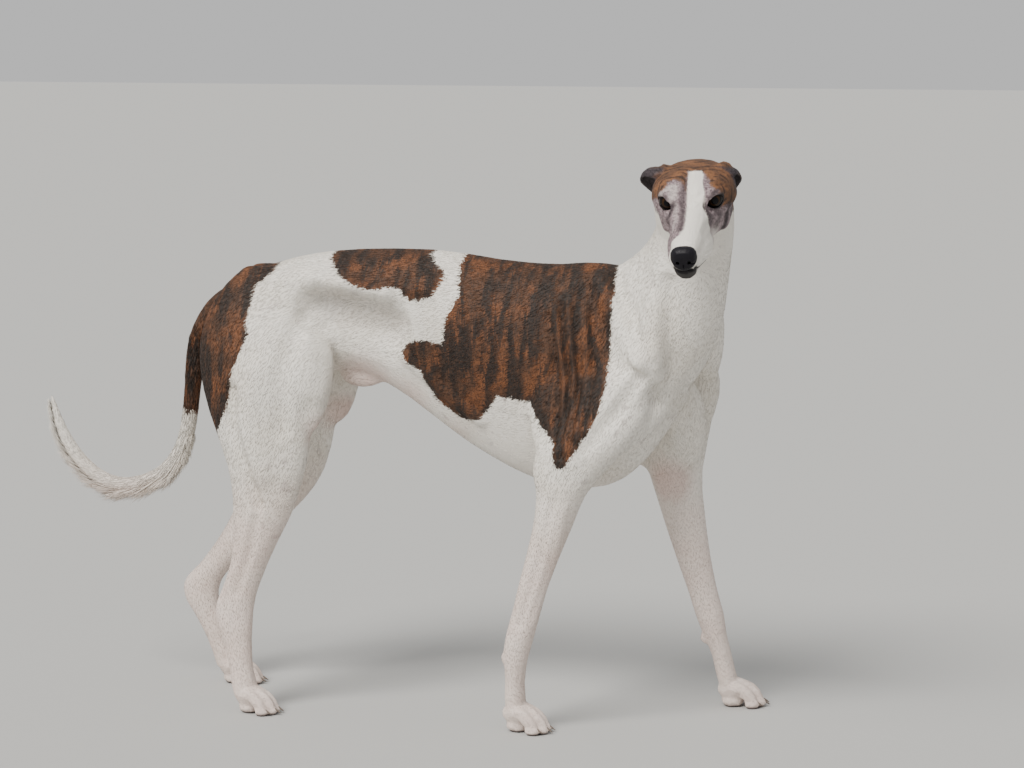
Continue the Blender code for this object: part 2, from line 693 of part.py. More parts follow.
def flesh():
    """The whole dog in one skin: every form fused, smoothed and thinned to few triangles."""
    pieces = [trunk(), neck(), tail()]
    pieces += [limb(RIGHT_FORELEG, "foreleg"), limb(LEFT_FORELEG, "foreleg")]
    pieces += [limb(RIGHT_HINDLEG, "hindleg"), limb(LEFT_HINDLEG, "hindleg")]
    pieces += head_pieces() + body_muscles() + carpal_pads()
    for name in PAWS:
        pieces += paw_pieces(name)
    skin = join(pieces, "skin")
    remesh = skin.modifiers.new("fuse", "REMESH")
    remesh.mode = "VOXEL"
    remesh.voxel_size = VOXEL
    smooth = skin.modifiers.new("smooth", "SMOOTH")
    smooth.factor = SMOOTHING
    smooth.iterations = SMOOTHING_ROUNDS
    bake_modifiers(skin)
    trunk_only = skin.vertex_groups.new(name="trunk")
    for vertex in skin.data.vertices:
        weight = trunk_weight(vertex.co)
        if weight > 0:
            trunk_only.add([vertex.index], weight, "REPLACE")
    blend = skin.modifiers.new("blend", "SMOOTH")
    blend.factor = SMOOTHING
    blend.iterations = TRUNK_ROUNDS
    blend.vertex_group = "trunk"
    return bake_modifiers(skin)


def is_coarse(point):
    """Whether a place may lose most of its triangles: not the head, the paws or the tail."""
    near_head = (point - head_point(0.12, 0, 0)).length < HEAD_REACH
    on_tail = point.x < TAIL_START and abs(point.y) < TAIL_REACH
    return not (near_head or point.z < PAW_TOP or on_tail)


def thin(item, triangles):
    """Reduces the skin to a count of triangles, sparing the finely shaped places."""
    coarse = item.vertex_groups.new(name="coarse")
    for vertex in item.data.vertices:
        coarse.add([vertex.index], 1.0 if is_coarse(vertex.co) else FINE_SHARE, "REPLACE")
    decimate = item.modifiers.new("thin", "DECIMATE")
    decimate.ratio = triangles / (2 * len(item.data.polygons))
    decimate.vertex_group = "coarse"
    decimate.vertex_group_factor = FINE_COST
    decimate.use_collapse_triangulate = True
    bake_modifiers(item)
    item.vertex_groups.clear()
    return item


def tilted(x, y, z):
    """A turn by angles in degrees about x, y and z."""
    return Euler((math.radians(x), math.radians(y), math.radians(z))).to_matrix().to_4x4()


def plate(middle, turn, size):
    """A cutter as thin as the gap between two nodes, its faces looking along its own z."""
    bm = bmesh.new()
    bmesh.ops.create_cube(bm, size=1.0)
    placing = Matrix.Translation(middle) @ turn @ Matrix.Diagonal((*size, GAP, 1.0))
    bmesh.ops.transform(bm, matrix=placing, verts=bm.verts)
    return object_from(bm, "plate")


def partings():
    """Thin cuts where one part of the dog ends and the next begins, and the ground below."""
    plates = [plate(middle, tilted(*turn), size) for middle, turn, size in CUTS]
    place, turn, size = HEAD_CUT
    head_turn = head_frame().to_quaternion().to_matrix().to_4x4() @ tilted(*turn)
    plates.append(plate(head_point(*place), head_turn, size))
    bm = bmesh.new()
    bmesh.ops.create_cube(bm, size=1.0)
    ground = Matrix.Translation((0, 0, -0.05)) @ Matrix.Diagonal((2.0, 1.0, 0.10, 1.0))
    bmesh.ops.transform(bm, matrix=ground, verts=bm.verts)
    plates.append(object_from(bm, "ground"))
    return join(plates, "partings")


def boolean(item, cutter, operation, solver="EXACT"):
    modifier = item.modifiers.new(operation.lower(), "BOOLEAN")
    modifier.operation = operation
    modifier.object = cutter
    modifier.solver = solver
    bake_modifiers(item)
    bpy.data.objects.remove(cutter, do_unlink=True)
    return item


def fuse(item, pieces):
    """Unites an item with many closed pieces at once."""
    holder = new_collection("pieces")
    for piece in pieces:
        holder.objects.link(piece)
    modifier = item.modifiers.new("union", "BOOLEAN")
    modifier.operation = "UNION"
    modifier.operand_type = "COLLECTION"
    modifier.collection = holder
    modifier.solver = "EXACT"
    bake_modifiers(item)
    for piece in pieces:
        bpy.data.objects.remove(piece, do_unlink=True)
    bpy.data.collections.remove(holder)
    return keep_largest(item)


def islands(bm):
    """Groups of vertices that hang together."""
    waiting = set(bm.verts)
    groups = []
    while waiting:
        group = {waiting.pop()}
        frontier = list(group)
        while frontier:
            for edge in frontier.pop().link_edges:
                for vertex in edge.verts:
                    if vertex not in group:
                        group.add(vertex)
                        frontier.append(vertex)
        waiting -= group
        groups.append(group)
    return groups


def keep_largest(item):
    """Drops every closed surface of a mesh but its largest."""
    bm = bmesh.new()
    bm.from_mesh(item.data)
    groups = sorted(islands(bm), key=len)
    for group in groups[:-1]:
        bmesh.ops.delete(bm, geom=list(group), context="VERTS")
    bm.to_mesh(item.data)
    bm.free()
    return item


def mouth_line(head, side):
    """A slim groove along the lips, from under the nose to the corner of the mouth."""
    curve = bpy.data.curves.new("mouth_line", "CURVE")
    curve.dimensions = "3D"
    curve.bevel_depth = MOUTH_GROOVE
    curve.bevel_resolution = 1
    curve.use_fill_caps = True
    spline = curve.splines.new("POLY")
    points = smooth_through(MOUTH, 3)
    spline.points.add(len(points) - 1)
    for target, (back, across, up) in zip(spline.points, points):
        on_lip = head.closest_point_on_mesh(head_point(back, side * across, up))[1]
        target.co = (*on_lip, 1.0)
    item = bpy.data.objects.new("mouth_line", curve)
    bpy.context.scene.collection.objects.link(item)
    return as_mesh(item)


def as_mesh(curve_item):
    """A closed mesh in place of a curve object."""
    bpy.context.view_layer.update()
    bm = bmesh.new()
    bm.from_mesh(evaluated_mesh(curve_item))
    bmesh.ops.remove_doubles(bm, verts=bm.verts, dist=WELD)
    name = curve_item.name
    bpy.data.objects.remove(curve_item, do_unlink=True)
    return object_from(bm, name)


def separate_nodes(skin):
    """Names each closed piece of the parted skin after the part of the dog nearest to it."""
    bm = bmesh.new()
    bm.from_mesh(skin.data)
    groups = [group for group in islands(bm) if len(group) > SCRAP_VERTICES]
    nodes = {}
    for name, place in NODE_PLACES.items():
        nodes[name] = min(groups, key=lambda group: min((v.co - Vector(place)).length
                                                        for v in group))
    for name, group in nodes.items():
        others = [vertex for vertex in bm.verts if vertex not in group]
        piece = bm.copy()
        piece.verts.ensure_lookup_table()
        doomed = [piece.verts[vertex.index] for vertex in others]
        bmesh.ops.delete(piece, geom=doomed, context="VERTS")
        nodes[name] = object_from(piece, name)
    bm.free()
    bpy.data.objects.remove(skin, do_unlink=True)
    return nodes


def eye_frame(side):
    """Axes of one eye: z looks out of the head, x runs along the slit of the lids."""
    outward = head_direction(-math.cos(math.radians(EYE_OUTWARD)),
                             side * math.sin(math.radians(EYE_OUTWARD)), 0.10)
    up = head_direction(0, 0, 1)
    along = up.cross(outward).normalized()
    frame = Matrix((along, outward.cross(along), outward)).transposed().to_4x4()
    frame.translation = head_point(EYE_BACK, side * EYE_SIDE, EYE_UP)
    return frame


def eye(side, grow=0.0):
    radius = EYE_RADIUS + grow
    return ellipsoid(eye_frame(side).translation, (radius, radius, radius), eye_frame(side),
                     sides=EYE_SIDES)


def lid_opening(side):
    """An almond bar that opens the lids in front of the eye."""
    frame = eye_frame(side)
    turn = frame.to_3x3()
    half_long, half_high = LID_OPENING
    rings = []
    for reach in (0.35 * EYE_RADIUS, 2.6 * EYE_RADIUS):
        rings.append(ring(frame @ Vector((0, 0, reach)), turn @ Vector((1, 0, 0)),
                          turn @ Vector((0, 1, 0)), half_long, half_high, half_high,
                          keel=1.6, crown=1.6))
    return loft(rings, "lid_opening")


def nose_pad(grow=0.0):
    """The bare nose: a rounded block, broad above and narrow below."""
    rings = []
    for back, top, bottom, half_width in smooth_through(NOSE, 2):
        height = (top + bottom) / 2
        rings.append(ring(head_point(back, 0, height), head_direction(0, 1, 0),
                          head_direction(0, 0, 1), half_width + grow, top - height + grow,
                          height - bottom + grow, keel=2.0, crown=2.8, points=18))
    return loft(rings, "nose")


def nostrils():
    """Two comma-shaped openings that run out to the sides, and the groove between them."""
    pieces = [head_muscle((-0.0050, 0, -0.0170), (-0.0050, 0, 0.0020), 0.0016, 0.0040,
                          (1, 0, 0), sides=8)]
    for side in (1, -1):
        pieces.append(head_muscle((-0.009, side * 0.0080, -0.0020), (0.008, side * 0.0090, -0.0010),
                                  0.0068, 0.0058, (0, side, 0), sides=10))
        pieces.append(head_muscle((-0.006, side * 0.0095, -0.0030), (0.008, side * 0.0220, -0.0070),
                                  0.0036, 0.0036, (0, 0, 1), sides=8))
    return pieces


def ear(side, name):
    """A folded, cupped ear laid back along the neck, thicker at its root."""
    bm = bmesh.new()
    bmesh.ops.create_grid(bm, x_segments=EAR_ROWS, y_segments=EAR_COLUMNS, size=1.0)
    rows = smooth_through(EAR, 8)
    for vertex in bm.verts:
        along = (vertex.co.x + 1) / 2 * (len(rows) - 1)
        low = min(int(along), len(rows) - 2)
        share = along - low
        back, across, up, width, arc, tilt = (
            a + (b - a) * share for a, b in zip(rows[low], rows[low + 1]))
        angle = math.radians(tilt) + vertex.co.y * math.radians(arc)
        radius = width / (2 * math.sin(min(math.radians(arc), math.pi / 2)))
        spread = EAR[0][1] + (across - EAR[0][1]) * EAR_SPREAD[side]
        vertex.co = head_point(back, side * (spread + radius * math.cos(angle)),
                               up - EAR_DROP[side] + radius * math.sin(angle))
    item = object_from(bm, name)
    shell = item.modifiers.new("thickness", "SOLIDIFY")
    shell.thickness = EAR_THICKNESS
    shell.offset = 0.0
    return bake_modifiers(item)


def seat(item, bases):
    """Trims a piece where it meets its bases, with the gap between two nodes all over."""
    for base in bases:
        cutter = base.copy()
        cutter.data = base.data.copy()
        bpy.context.scene.collection.objects.link(cutter)
        swell = cutter.modifiers.new("gap", "DISPLACE")
        swell.strength = GAP
        swell.mid_level = 0.0
        boolean(item, bake_modifiers(cutter), "DIFFERENCE")
    return keep_largest(item)


def open_face(head):
    """Cuts the eye sockets, lids, line of the mouth and the seat of the nose into the head."""
    for side in (1, -1):
        lids = ellipsoid(eye_frame(side).translation, [EYE_RADIUS + LID_THICKNESS] * 3,
                         eye_frame(side))
        boolean(head, lids, "UNION")
        boolean(head, eye(side, GAP), "DIFFERENCE")
        boolean(head, lid_opening(side), "DIFFERENCE")
        boolean(head, mouth_line(head, side), "DIFFERENCE")
    boolean(head, nose_pad(GAP), "DIFFERENCE")
    return keep_largest(head)


def centre_on_floor(items):
    """Moves everything so that the origin lies under the middle of the bounding box."""
    corners = [vertex.co for item in items for vertex in item.data.vertices]
    middle = Vector([(min(c[axis] for c in corners) + max(c[axis] for c in corners)) / 2
                     for axis in range(3)])
    middle.z = min(corner.z for corner in corners)
    for item in items:
        item.data.transform(Matrix.Translation(-middle))


def finish(item, name, collection, material):
    item.name = name
    item.data.name = name
    item.data.materials.clear()
    item.data.materials.append(material)
    for holder in list(item.users_collection):
        holder.objects.unlink(item)
    collection.objects.link(item)
    item.data.shade_smooth()
    item.data.set_sharp_from_angle(angle=math.radians(60))


def main():
    clear_scene()
    dog = new_collection("greyhound")
    materials = {name: make_material(name) for name in COLOURS}
    skin = fuse(thin(flesh(), FLESH_TRIANGLES), brush())
    boolean(skin, partings(), "DIFFERENCE")
    nodes = separate_nodes(skin)
    head = open_face(nodes["head"])
    nodes["nose"] = nose_pad()
    for nostril in nostrils():
        boolean(nodes["nose"], nostril, "DIFFERENCE")
    for side, hand in ((1, "right"), (-1, "left")):
        nodes["eye_" + hand] = eye(side)
        nodes["ear_" + hand] = seat(ear(side, "ear"), (head, nodes["neck"]))
    for name in PAWS:
        for claw in claws(name):
            boolean(nodes[name], claw, "UNION")
    centre_on_floor(nodes.values())
    for name, item in nodes.items():
        finish(item, name, dog, materials[NODE_MATERIALS.get(name, "white_coat")])


main()
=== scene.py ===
import math

import bpy
import numpy as np
from mathutils import Matrix, Vector
from mathutils.bvhtree import BVHTree


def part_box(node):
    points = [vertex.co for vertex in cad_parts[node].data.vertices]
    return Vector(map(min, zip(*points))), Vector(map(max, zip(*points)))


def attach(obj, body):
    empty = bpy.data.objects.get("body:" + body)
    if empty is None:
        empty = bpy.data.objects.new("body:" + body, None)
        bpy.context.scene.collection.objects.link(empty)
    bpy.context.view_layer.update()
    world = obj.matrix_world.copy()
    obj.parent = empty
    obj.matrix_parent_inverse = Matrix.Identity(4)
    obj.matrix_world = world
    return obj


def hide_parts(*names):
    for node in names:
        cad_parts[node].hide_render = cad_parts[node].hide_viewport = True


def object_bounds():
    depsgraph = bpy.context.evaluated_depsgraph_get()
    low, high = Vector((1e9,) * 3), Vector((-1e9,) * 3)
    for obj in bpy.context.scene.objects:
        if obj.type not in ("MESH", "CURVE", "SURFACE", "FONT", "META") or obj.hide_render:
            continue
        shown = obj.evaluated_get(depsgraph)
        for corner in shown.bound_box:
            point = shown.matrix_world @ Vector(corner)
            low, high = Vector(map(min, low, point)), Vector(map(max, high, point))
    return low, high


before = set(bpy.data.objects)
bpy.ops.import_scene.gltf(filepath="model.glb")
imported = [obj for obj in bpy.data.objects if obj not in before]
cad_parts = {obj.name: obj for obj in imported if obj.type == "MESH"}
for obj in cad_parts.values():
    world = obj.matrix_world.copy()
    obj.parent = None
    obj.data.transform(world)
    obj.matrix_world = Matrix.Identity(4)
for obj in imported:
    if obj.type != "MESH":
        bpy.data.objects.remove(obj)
cad_box = [list(corner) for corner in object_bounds()]

# A greyhound standing still. Metres, +Z up: the body faces +X, its right side faces -Y.

# The skin: one unbroken surface over all the flesh, from the lips to the paws. It is cast from
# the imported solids, closed over their partings, then smoothed more on the broad muscles than
# on the face and feet. The tail's core is a tube, because its solids already carry the brush.

# Landmarks. Every place on the dog is given from two of them: on the body, forward of the
# middle of the torso, left of the spine and up from the floor; on the head, back from the
# nose, towards the dog's right and up from the line between nose and eyes.
def middle_of(node):
    low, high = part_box(node)
    return (Vector(low) + Vector(high)) / 2


BODY = Vector((middle_of("torso").x, middle_of("tail_root").y, 0.0))
NOSE = middle_of("nose")
EYES = {"right": middle_of("eye_right"), "left": middle_of("eye_left")}
FACE_SIDE = (EYES["right"] - EYES["left"]).normalized()
face_line = (EYES["right"] + EYES["left"]) / 2 - NOSE
FACE_BACK = (face_line - FACE_SIDE * face_line.dot(FACE_SIDE)).normalized()
FACE_UP = FACE_BACK.cross(FACE_SIDE).normalized()
FACE_UP = FACE_UP if FACE_UP.z > 0 else -FACE_UP


def on_body(forward, left, up):
    return BODY + Vector((forward, left, up))


def on_face(back, side, up):
    return NOSE + FACE_BACK * back + FACE_SIDE * side + FACE_UP * up


def body_places(points):
    """Forward, left and up of many points at once."""
    return points - np.array(BODY)


def face_places(points):
    """Back, side and up of many points at once, on the head."""
    axes = np.array([FACE_BACK, FACE_SIDE, FACE_UP]).T
    return (points - np.array(NOSE)) @ axes


def only(*objects):
    """Selects these objects and nothing else, the first of them active."""
    bpy.ops.object.select_all(action="DESELECT")
    for item in objects:
        item.select_set(True)
    bpy.context.view_layer.objects.active = objects[0]


def apply_all(item):
    only(item)
    for modifier in list(item.modifiers):
        bpy.ops.object.modifier_apply(modifier=modifier.name)


def vertices_of(item):
    flat = np.empty(len(item.data.vertices) * 3)
    item.data.vertices.foreach_get("co", flat)
    return flat.reshape(-1, 3)


def normals_of(item):
    flat = np.empty(len(item.data.vertices) * 3)
    item.data.vertices.foreach_get("normal", flat)
    return flat.reshape(-1, 3)


def move_vertices(item, points):
    item.data.vertices.foreach_set("co", np.ascontiguousarray(points).ravel())
    item.data.update()


def fade(values, start, end):
    """0 at start, 1 at end and beyond, smooth between."""
    share = np.clip((values - start) / (end - start), 0.0, 1.0)
    return share * share * (3.0 - 2.0 * share)


# How finely the skin is cast and how often each part of it is smoothed
VOXEL = 0.0016
SEAM = 0.0003
BODY_ROUNDS = 34
FACE_ROUNDS = 7
PAW_ROUNDS = 2
SKIN_TRIANGLES = 190000
TAIL_LENGTHS = ("tail_middle", "tail_bend", "tail_tip")
APART = ("eye_right", "eye_left", "nose") + TAIL_LENGTHS
TAIL_CORE = [
    (-0.4440, 0.600, 0.0185), (-0.4550, 0.540, 0.0145), (-0.4600, 0.490, 0.0138),
    (-0.4660, 0.445, 0.0136), (-0.4800, 0.405, 0.0138), (-0.5055, 0.372, 0.0140),
    (-0.5455, 0.351, 0.0140), (-0.5915, 0.343, 0.0138), (-0.6335, 0.359, 0.0132),
    (-0.6675, 0.391, 0.0125), (-0.6915, 0.430, 0.0105), (-0.7035, 0.466, 0.0075),
    (-0.7100, 0.494, 0.0030),
]


def copy_of(node):
    item = bpy.data.objects.new("flesh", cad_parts[node].data.copy())
    bpy.context.scene.collection.objects.link(item)
    return item


def tube(points, name, sides=6):
    """A round tube through points that each carry a radius, as a closed mesh."""
    curve = bpy.data.curves.new(name, "CURVE")
    curve.dimensions = "3D"
    curve.bevel_depth = 1.0
    curve.bevel_resolution = sides
    curve.use_fill_caps = True
    spline = curve.splines.new("NURBS")
    spline.points.add(len(points) - 1)
    spline.use_endpoint_u = True
    spline.order_u = 4
    spline.resolution_u = 6
    for target, (place, radius) in zip(spline.points, points):
        target.co = (*place, 1.0)
        target.radius = radius
    item = bpy.data.objects.new(name, curve)
    bpy.context.scene.collection.objects.link(item)
    only(item)
    bpy.ops.object.convert(target="MESH")
    item = bpy.context.view_layer.objects.active
    bpy.ops.object.mode_set(mode="EDIT")
    bpy.ops.mesh.select_all(action="SELECT")
    bpy.ops.mesh.remove_doubles(threshold=0.00005)
    bpy.ops.mesh.normals_make_consistent(inside=False)
    bpy.ops.object.mode_set(mode="OBJECT")
    return item


WELD = 0.00002


def weld():
    """Merges the doubled corners of the active mesh."""
    bpy.ops.object.mode_set(mode="EDIT")
    bpy.ops.mesh.select_all(action="SELECT")
    bpy.ops.mesh.remove_doubles(threshold=WELD)
    bpy.ops.object.mode_set(mode="OBJECT")


flesh = [copy_of(node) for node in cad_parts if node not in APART]
only(*flesh)
bpy.ops.object.join()
skin = bpy.context.view_layer.objects.active
weld()
swell = skin.modifiers.new("close_partings", "DISPLACE")
swell.strength = SEAM
swell.mid_level = 0.0
apply_all(skin)
tail_core = tube([(on_body(forward, 0.0, up), radius) for forward, up, radius in TAIL_CORE],
                 "tail_core")
only(skin, tail_core)
bpy.ops.object.join()
skin.name = "skin"
fuse = skin.modifiers.new("fuse", "REMESH")
fuse.mode = "VOXEL"
fuse.voxel_size = VOXEL
apply_all(skin)


def smooth(item, rounds, weights, name):
    group = item.vertex_groups.new(name=name)
    for level in np.unique(np.round(weights, 1)):
        if level > 0:
            chosen = np.nonzero(np.round(weights, 1) == level)[0].tolist()
            group.add(chosen, float(level), "REPLACE")
    modifier = item.modifiers.new(name, "SMOOTH")
    modifier.factor = 0.5
    modifier.iterations = rounds
    modifier.vertex_group = name
    apply_all(item)
    item.vertex_groups.clear()


def region_weights(points):
    """How much a place belongs to the face, to the paws and tail, and to the broad body."""
    from_face = np.linalg.norm(points - np.array(on_face(0.11, 0.0, -0.01)), axis=1)
    face = 1.0 - fade(from_face, 0.135, 0.175)
    paws = 1.0 - fade(points[:, 2], 0.085, 0.16)
    body = np.clip(1.0 - face - paws, 0.0, 1.0)
    return face, paws, body


face, paws, body = region_weights(vertices_of(skin))
smooth(skin, BODY_ROUNDS, body, "body")
smooth(skin, FACE_ROUNDS, np.clip(face + 0.4 * body, 0, 1), "face")
smooth(skin, PAW_ROUNDS, paws, "paws")

# The head is cut finer than the body before its folds go in
HEAD_REACH = 0.158
bpy.ops.object.mode_set(mode="EDIT")
bpy.ops.mesh.select_all(action="DESELECT")
bpy.ops.object.mode_set(mode="OBJECT")
centres = np.empty(len(skin.data.polygons) * 3)
skin.data.polygons.foreach_get("center", centres)
head_middle = np.array(on_face(0.12, 0.0, -0.01))
near_head = np.linalg.norm(centres.reshape(-1, 3) - head_middle, axis=1) < HEAD_REACH
skin.data.polygons.foreach_set("select", near_head)
bpy.ops.object.mode_set(mode="EDIT")
bpy.ops.mesh.subdivide(number_cuts=1)
bpy.ops.object.mode_set(mode="OBJECT")

# The forms under the skin that a lean, short-coated dog shows: muscle edges, skin folds behind
# the shoulder, tendons, veins and the bones of the face. Each is a line on the skin with a
# width and a rise, pushed out or in along the surface.
# side, points forward and up, half width, rise
BODY_FORMS = [
    ("right", [(0.362, 0.720), (0.360, 0.650), (0.352, 0.590)], 0.012, -0.0040),
    ("right", [(0.345, 0.730), (0.338, 0.660), (0.335, 0.610)], 0.020, 0.0030),
    ("both", [(0.240, 0.720), (0.278, 0.660), (0.315, 0.596)], 0.013, 0.0045),
    ("both", [(0.268, 0.725), (0.305, 0.660), (0.333, 0.600)], 0.010, -0.0025),
    ("both", [(0.215, 0.700), (0.250, 0.640), (0.285, 0.580)], 0.012, -0.0025),
    ("both", [(0.330, 0.598), (0.345, 0.580), (0.352, 0.562)], 0.022, 0.0050),
    ("both", [(0.315, 0.570), (0.285, 0.520), (0.240, 0.465)], 0.010, -0.0030),
    ("both", [(0.300, 0.600), (0.255, 0.530), (0.205, 0.455)], 0.024, 0.0030),
    ("both", [(0.166, 0.660), (0.189, 0.560), (0.190, 0.470)], 0.0065, -0.0030),
    ("both", [(0.176, 0.670), (0.198, 0.560), (0.197, 0.455)], 0.0055, 0.0035),
    ("both", [(0.186, 0.680), (0.206, 0.560), (0.203, 0.450)], 0.0050, -0.0030),
    ("both", [(0.196, 0.680), (0.213, 0.560), (0.209, 0.460)], 0.0055, 0.0030),
    ("both", [(0.208, 0.672), (0.221, 0.570), (0.216, 0.470)], 0.0050, -0.0026),
    ("both", [(0.223, 0.682), (0.232, 0.580), (0.226, 0.480)], 0.0060, 0.0024),
    ("both", [(0.235, 0.660), (0.243, 0.580), (0.238, 0.500)], 0.0050, -0.0020),
    ("both", [(-0.210, 0.664), (-0.160, 0.652), (-0.100, 0.634)], 0.028, -0.0150),
    ("both", [(-0.222, 0.700), (-0.160, 0.693), (-0.105, 0.684)], 0.012, 0.0060),
    ("both", [(-0.200, 0.620), (-0.150, 0.612), (-0.100, 0.596)], 0.020, -0.0045),
    ("both", [(-0.260, 0.712), (-0.150, 0.706), (-0.040, 0.700)], 0.018, 0.0040),
    ("both", [(-0.345, 0.530), (-0.345, 0.480), (-0.328, 0.420), (-0.305, 0.350)], 0.010, -0.0050),
    ("both", [(-0.310, 0.560), (-0.318, 0.480), (-0.300, 0.400)], 0.020, 0.0040),
    ("both", [(-0.245, 0.640), (-0.262, 0.560), (-0.262, 0.470)], 0.013, -0.0030),
    ("both", [(-0.222, 0.600), (-0.214, 0.530), (-0.222, 0.460)], 0.018, 0.0035),
    ("both", [(-0.060, 0.690), (-0.050, 0.620), (-0.030, 0.560)], 0.012, 0.0030),
    ("both", [(-0.075, 0.585), (-0.020, 0.540), (0.050, 0.490)], 0.010, 0.0030),
    ("right", [(0.190, 0.380), (0.165, 0.280), (0.133, 0.180)], 0.0060, -0.0024),
    ("right", [(0.207, 0.370), (0.185, 0.270), (0.155, 0.180)], 0.0060, 0.0018),
    ("right", [(-0.300, 0.345), (-0.318, 0.270), (-0.345, 0.200)], 0.0065, -0.0030),
    ("right", [(-0.316, 0.340), (-0.335, 0.270), (-0.366, 0.200)], 0.0050, 0.0016),
    ("left", [(-0.340, 0.345), (-0.390, 0.270), (-0.448, 0.210)], 0.0065, -0.0030),
    ("left", [(0.335, 0.360), (0.358, 0.270), (0.385, 0.190)], 0.0060, -0.0020),
]
FORM_GAIN = 1.7
FOLD_GAIN = 0.95
FOLD_WIDTH = 0.0070
RIBS = 9
RIB_SPACING = 0.0250
RIB_RISE = 0.0016


def near_ears(points):
    """1 on the flaps of the ears, from their boxes in the solids."""
    share = np.zeros(len(points))
    for node in ("ear_right", "ear_left"):
        low, high = (np.array(corner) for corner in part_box(node))
        gap = np.max(np.maximum(low - points, points - high), axis=1)
        share = np.maximum(share, 1.0 - fade(gap, -0.004, 0.003))
    return share


def surface_of(item):
    return BVHTree.FromObject(item, bpy.context.evaluated_depsgraph_get())


def on_side(tree, forward, up, side):
    """The place on the skin seen from that side of the dog, at a distance forward and up."""
    sign = 1.0 if side == "left" else -1.0
    start = on_body(forward, sign * 0.5, up)
    return tree.ray_cast(start, Vector((0.0, -sign, 0.0)))[0]


def along_line(points, line):
    """Distance from each point to a line through places."""
    nearest = np.full(len(points), np.inf)
    for start, end in zip(line, line[1:]):
        start, end = np.array(start), np.array(end)
        step = end - start
        share = np.clip((points - start) @ step / max(step @ step, 1e-12), 0.0, 1.0)
        nearest = np.minimum(nearest, np.linalg.norm(points - start - share[:, None] * step, axis=1))
    return nearest


def raise_line(points, rises, line, half_width, rise):
    line = [place for place in line if place is not None]
    if len(line) < 2:
        return
    distance = along_line(points, line) / half_width
    rises += rise * np.clip(1.0 - (distance / 1.8) ** 2, 0.0, 1.0) ** 2


bpy.context.view_layer.update()
tree = surface_of(skin)
points = vertices_of(skin)
rises = np.zeros(len(points))
for side, line, half_width, rise in BODY_FORMS:
    for hand in (("right", "left") if side == "both" else (side,)):
        places = [on_side(tree, forward, up, hand) for forward, up in line]
        gain = FORM_GAIN if half_width > FOLD_WIDTH else FOLD_GAIN
        raise_line(points, rises, places, half_width, rise * gain)
for rib in range(RIBS):
    for hand in ("right", "left"):
        top = (0.165 - rib * RIB_SPACING, 0.690)
        bulge = (0.172 - rib * RIB_SPACING, 0.610)
        foot = (0.150 - rib * RIB_SPACING * 0.85, 0.505 + 0.004 * rib)
        places = [on_side(tree, *spot, hand) for spot in (top, bulge, foot)]
        raise_line(points, rises, places, 0.007, RIB_RISE)

# The bones and folds of the face: the brow over each eye, the hollow below it, the cheek bone,
# the line down the forehead and the crease behind the lips.
# points back, side and up, half width, rise
FACE_FORMS = [
    ([(0.118, 0.022, 0.020), (0.134, 0.036, 0.020), (0.155, 0.050, 0.006)], 0.0060, 0.0024),
    ([(0.112, 0.025, -0.002), (0.128, 0.040, -0.012), (0.150, 0.052, -0.018)], 0.0050, -0.0020),
    ([(0.120, 0.034, -0.020), (0.150, 0.050, -0.024), (0.190, 0.060, -0.022)], 0.0070, 0.0020),
    ([(0.060, 0.021, -0.002), (0.095, 0.026, -0.006), (0.118, 0.034, -0.024)], 0.0060, -0.0016),
    ([(0.105, 0.000, 0.018), (0.140, 0.000, 0.024), (0.180, 0.000, 0.022)], 0.0060, -0.0016),
    ([(0.030, 0.024, -0.012), (0.060, 0.027, -0.016), (0.090, 0.030, -0.020)], 0.0070, 0.0010),
]
for line, half_width, rise in FACE_FORMS:
    for sign in (1.0, -1.0):
        places = []
        for back, side, up in line:
            aim = on_face(back, sign * side, up)
            places.append(tree.find_nearest(aim)[0])
        raise_line(points, rises, places, half_width, rise)

# The lips: a crease from under the nose back to the corner, with a soft roll above it
MOUTH = [
    (-0.002, 0.000, -0.019), (0.002, 0.010, -0.021), (0.018, 0.026, -0.029),
    (0.042, 0.033, -0.038), (0.071, 0.038, -0.048), (0.095, 0.042, -0.051),
    (0.110, 0.044, -0.050),
]
mouth_lines = []
for sign in (1.0, -1.0):
    aims = [on_face(back, sign * side, up) for back, side, up in MOUTH]
    mouth_lines.append([tree.find_nearest(aim)[0] for aim in aims])
    above = [tree.find_nearest(aim + FACE_UP * 0.004)[0] for aim in aims]
    raise_line(points, rises, mouth_lines[-1], 0.0016, -0.0020)
    raise_line(points, rises, above, 0.0030, 0.0010)

# The coat lies on the skin, so the skin sinks by the coat's depth
COAT_DEPTH = 0.0009
FACE_COAT_DEPTH = 0.0005
face, paws, body = region_weights(points)
depth = (COAT_DEPTH * body + FACE_COAT_DEPTH * (face + paws)) * (1.0 - near_ears(points))
points = points + normals_of(skin) * (rises - depth)[:, None]
low_floor = float(cad_box[0][2])
points[:, 2] = np.maximum(points[:, 2], low_floor)
move_vertices(skin, points)

# Thinned to a sensible count, finest on the face and the paws
FINE_COST = 0.00002


def thin(item, triangles, weights):
    group = item.vertex_groups.new(name="coarse")
    for level in (0.1, 1.0):
        chosen = np.nonzero(np.where(weights > 0.5, 1.0, 0.1) == level)[0].tolist()
        group.add(chosen, level, "REPLACE")
    decimate = item.modifiers.new("thin", "DECIMATE")
    decimate.ratio = min(1.0, triangles / (2.0 * len(item.data.polygons)))
    decimate.vertex_group = "coarse"
    decimate.vertex_group_factor = FINE_COST
    decimate.use_collapse_triangulate = True
    apply_all(item)
    item.vertex_groups.clear()


thin(skin, SKIN_TRIANGLES, region_weights(points)[2])
skin.data.shade_smooth()

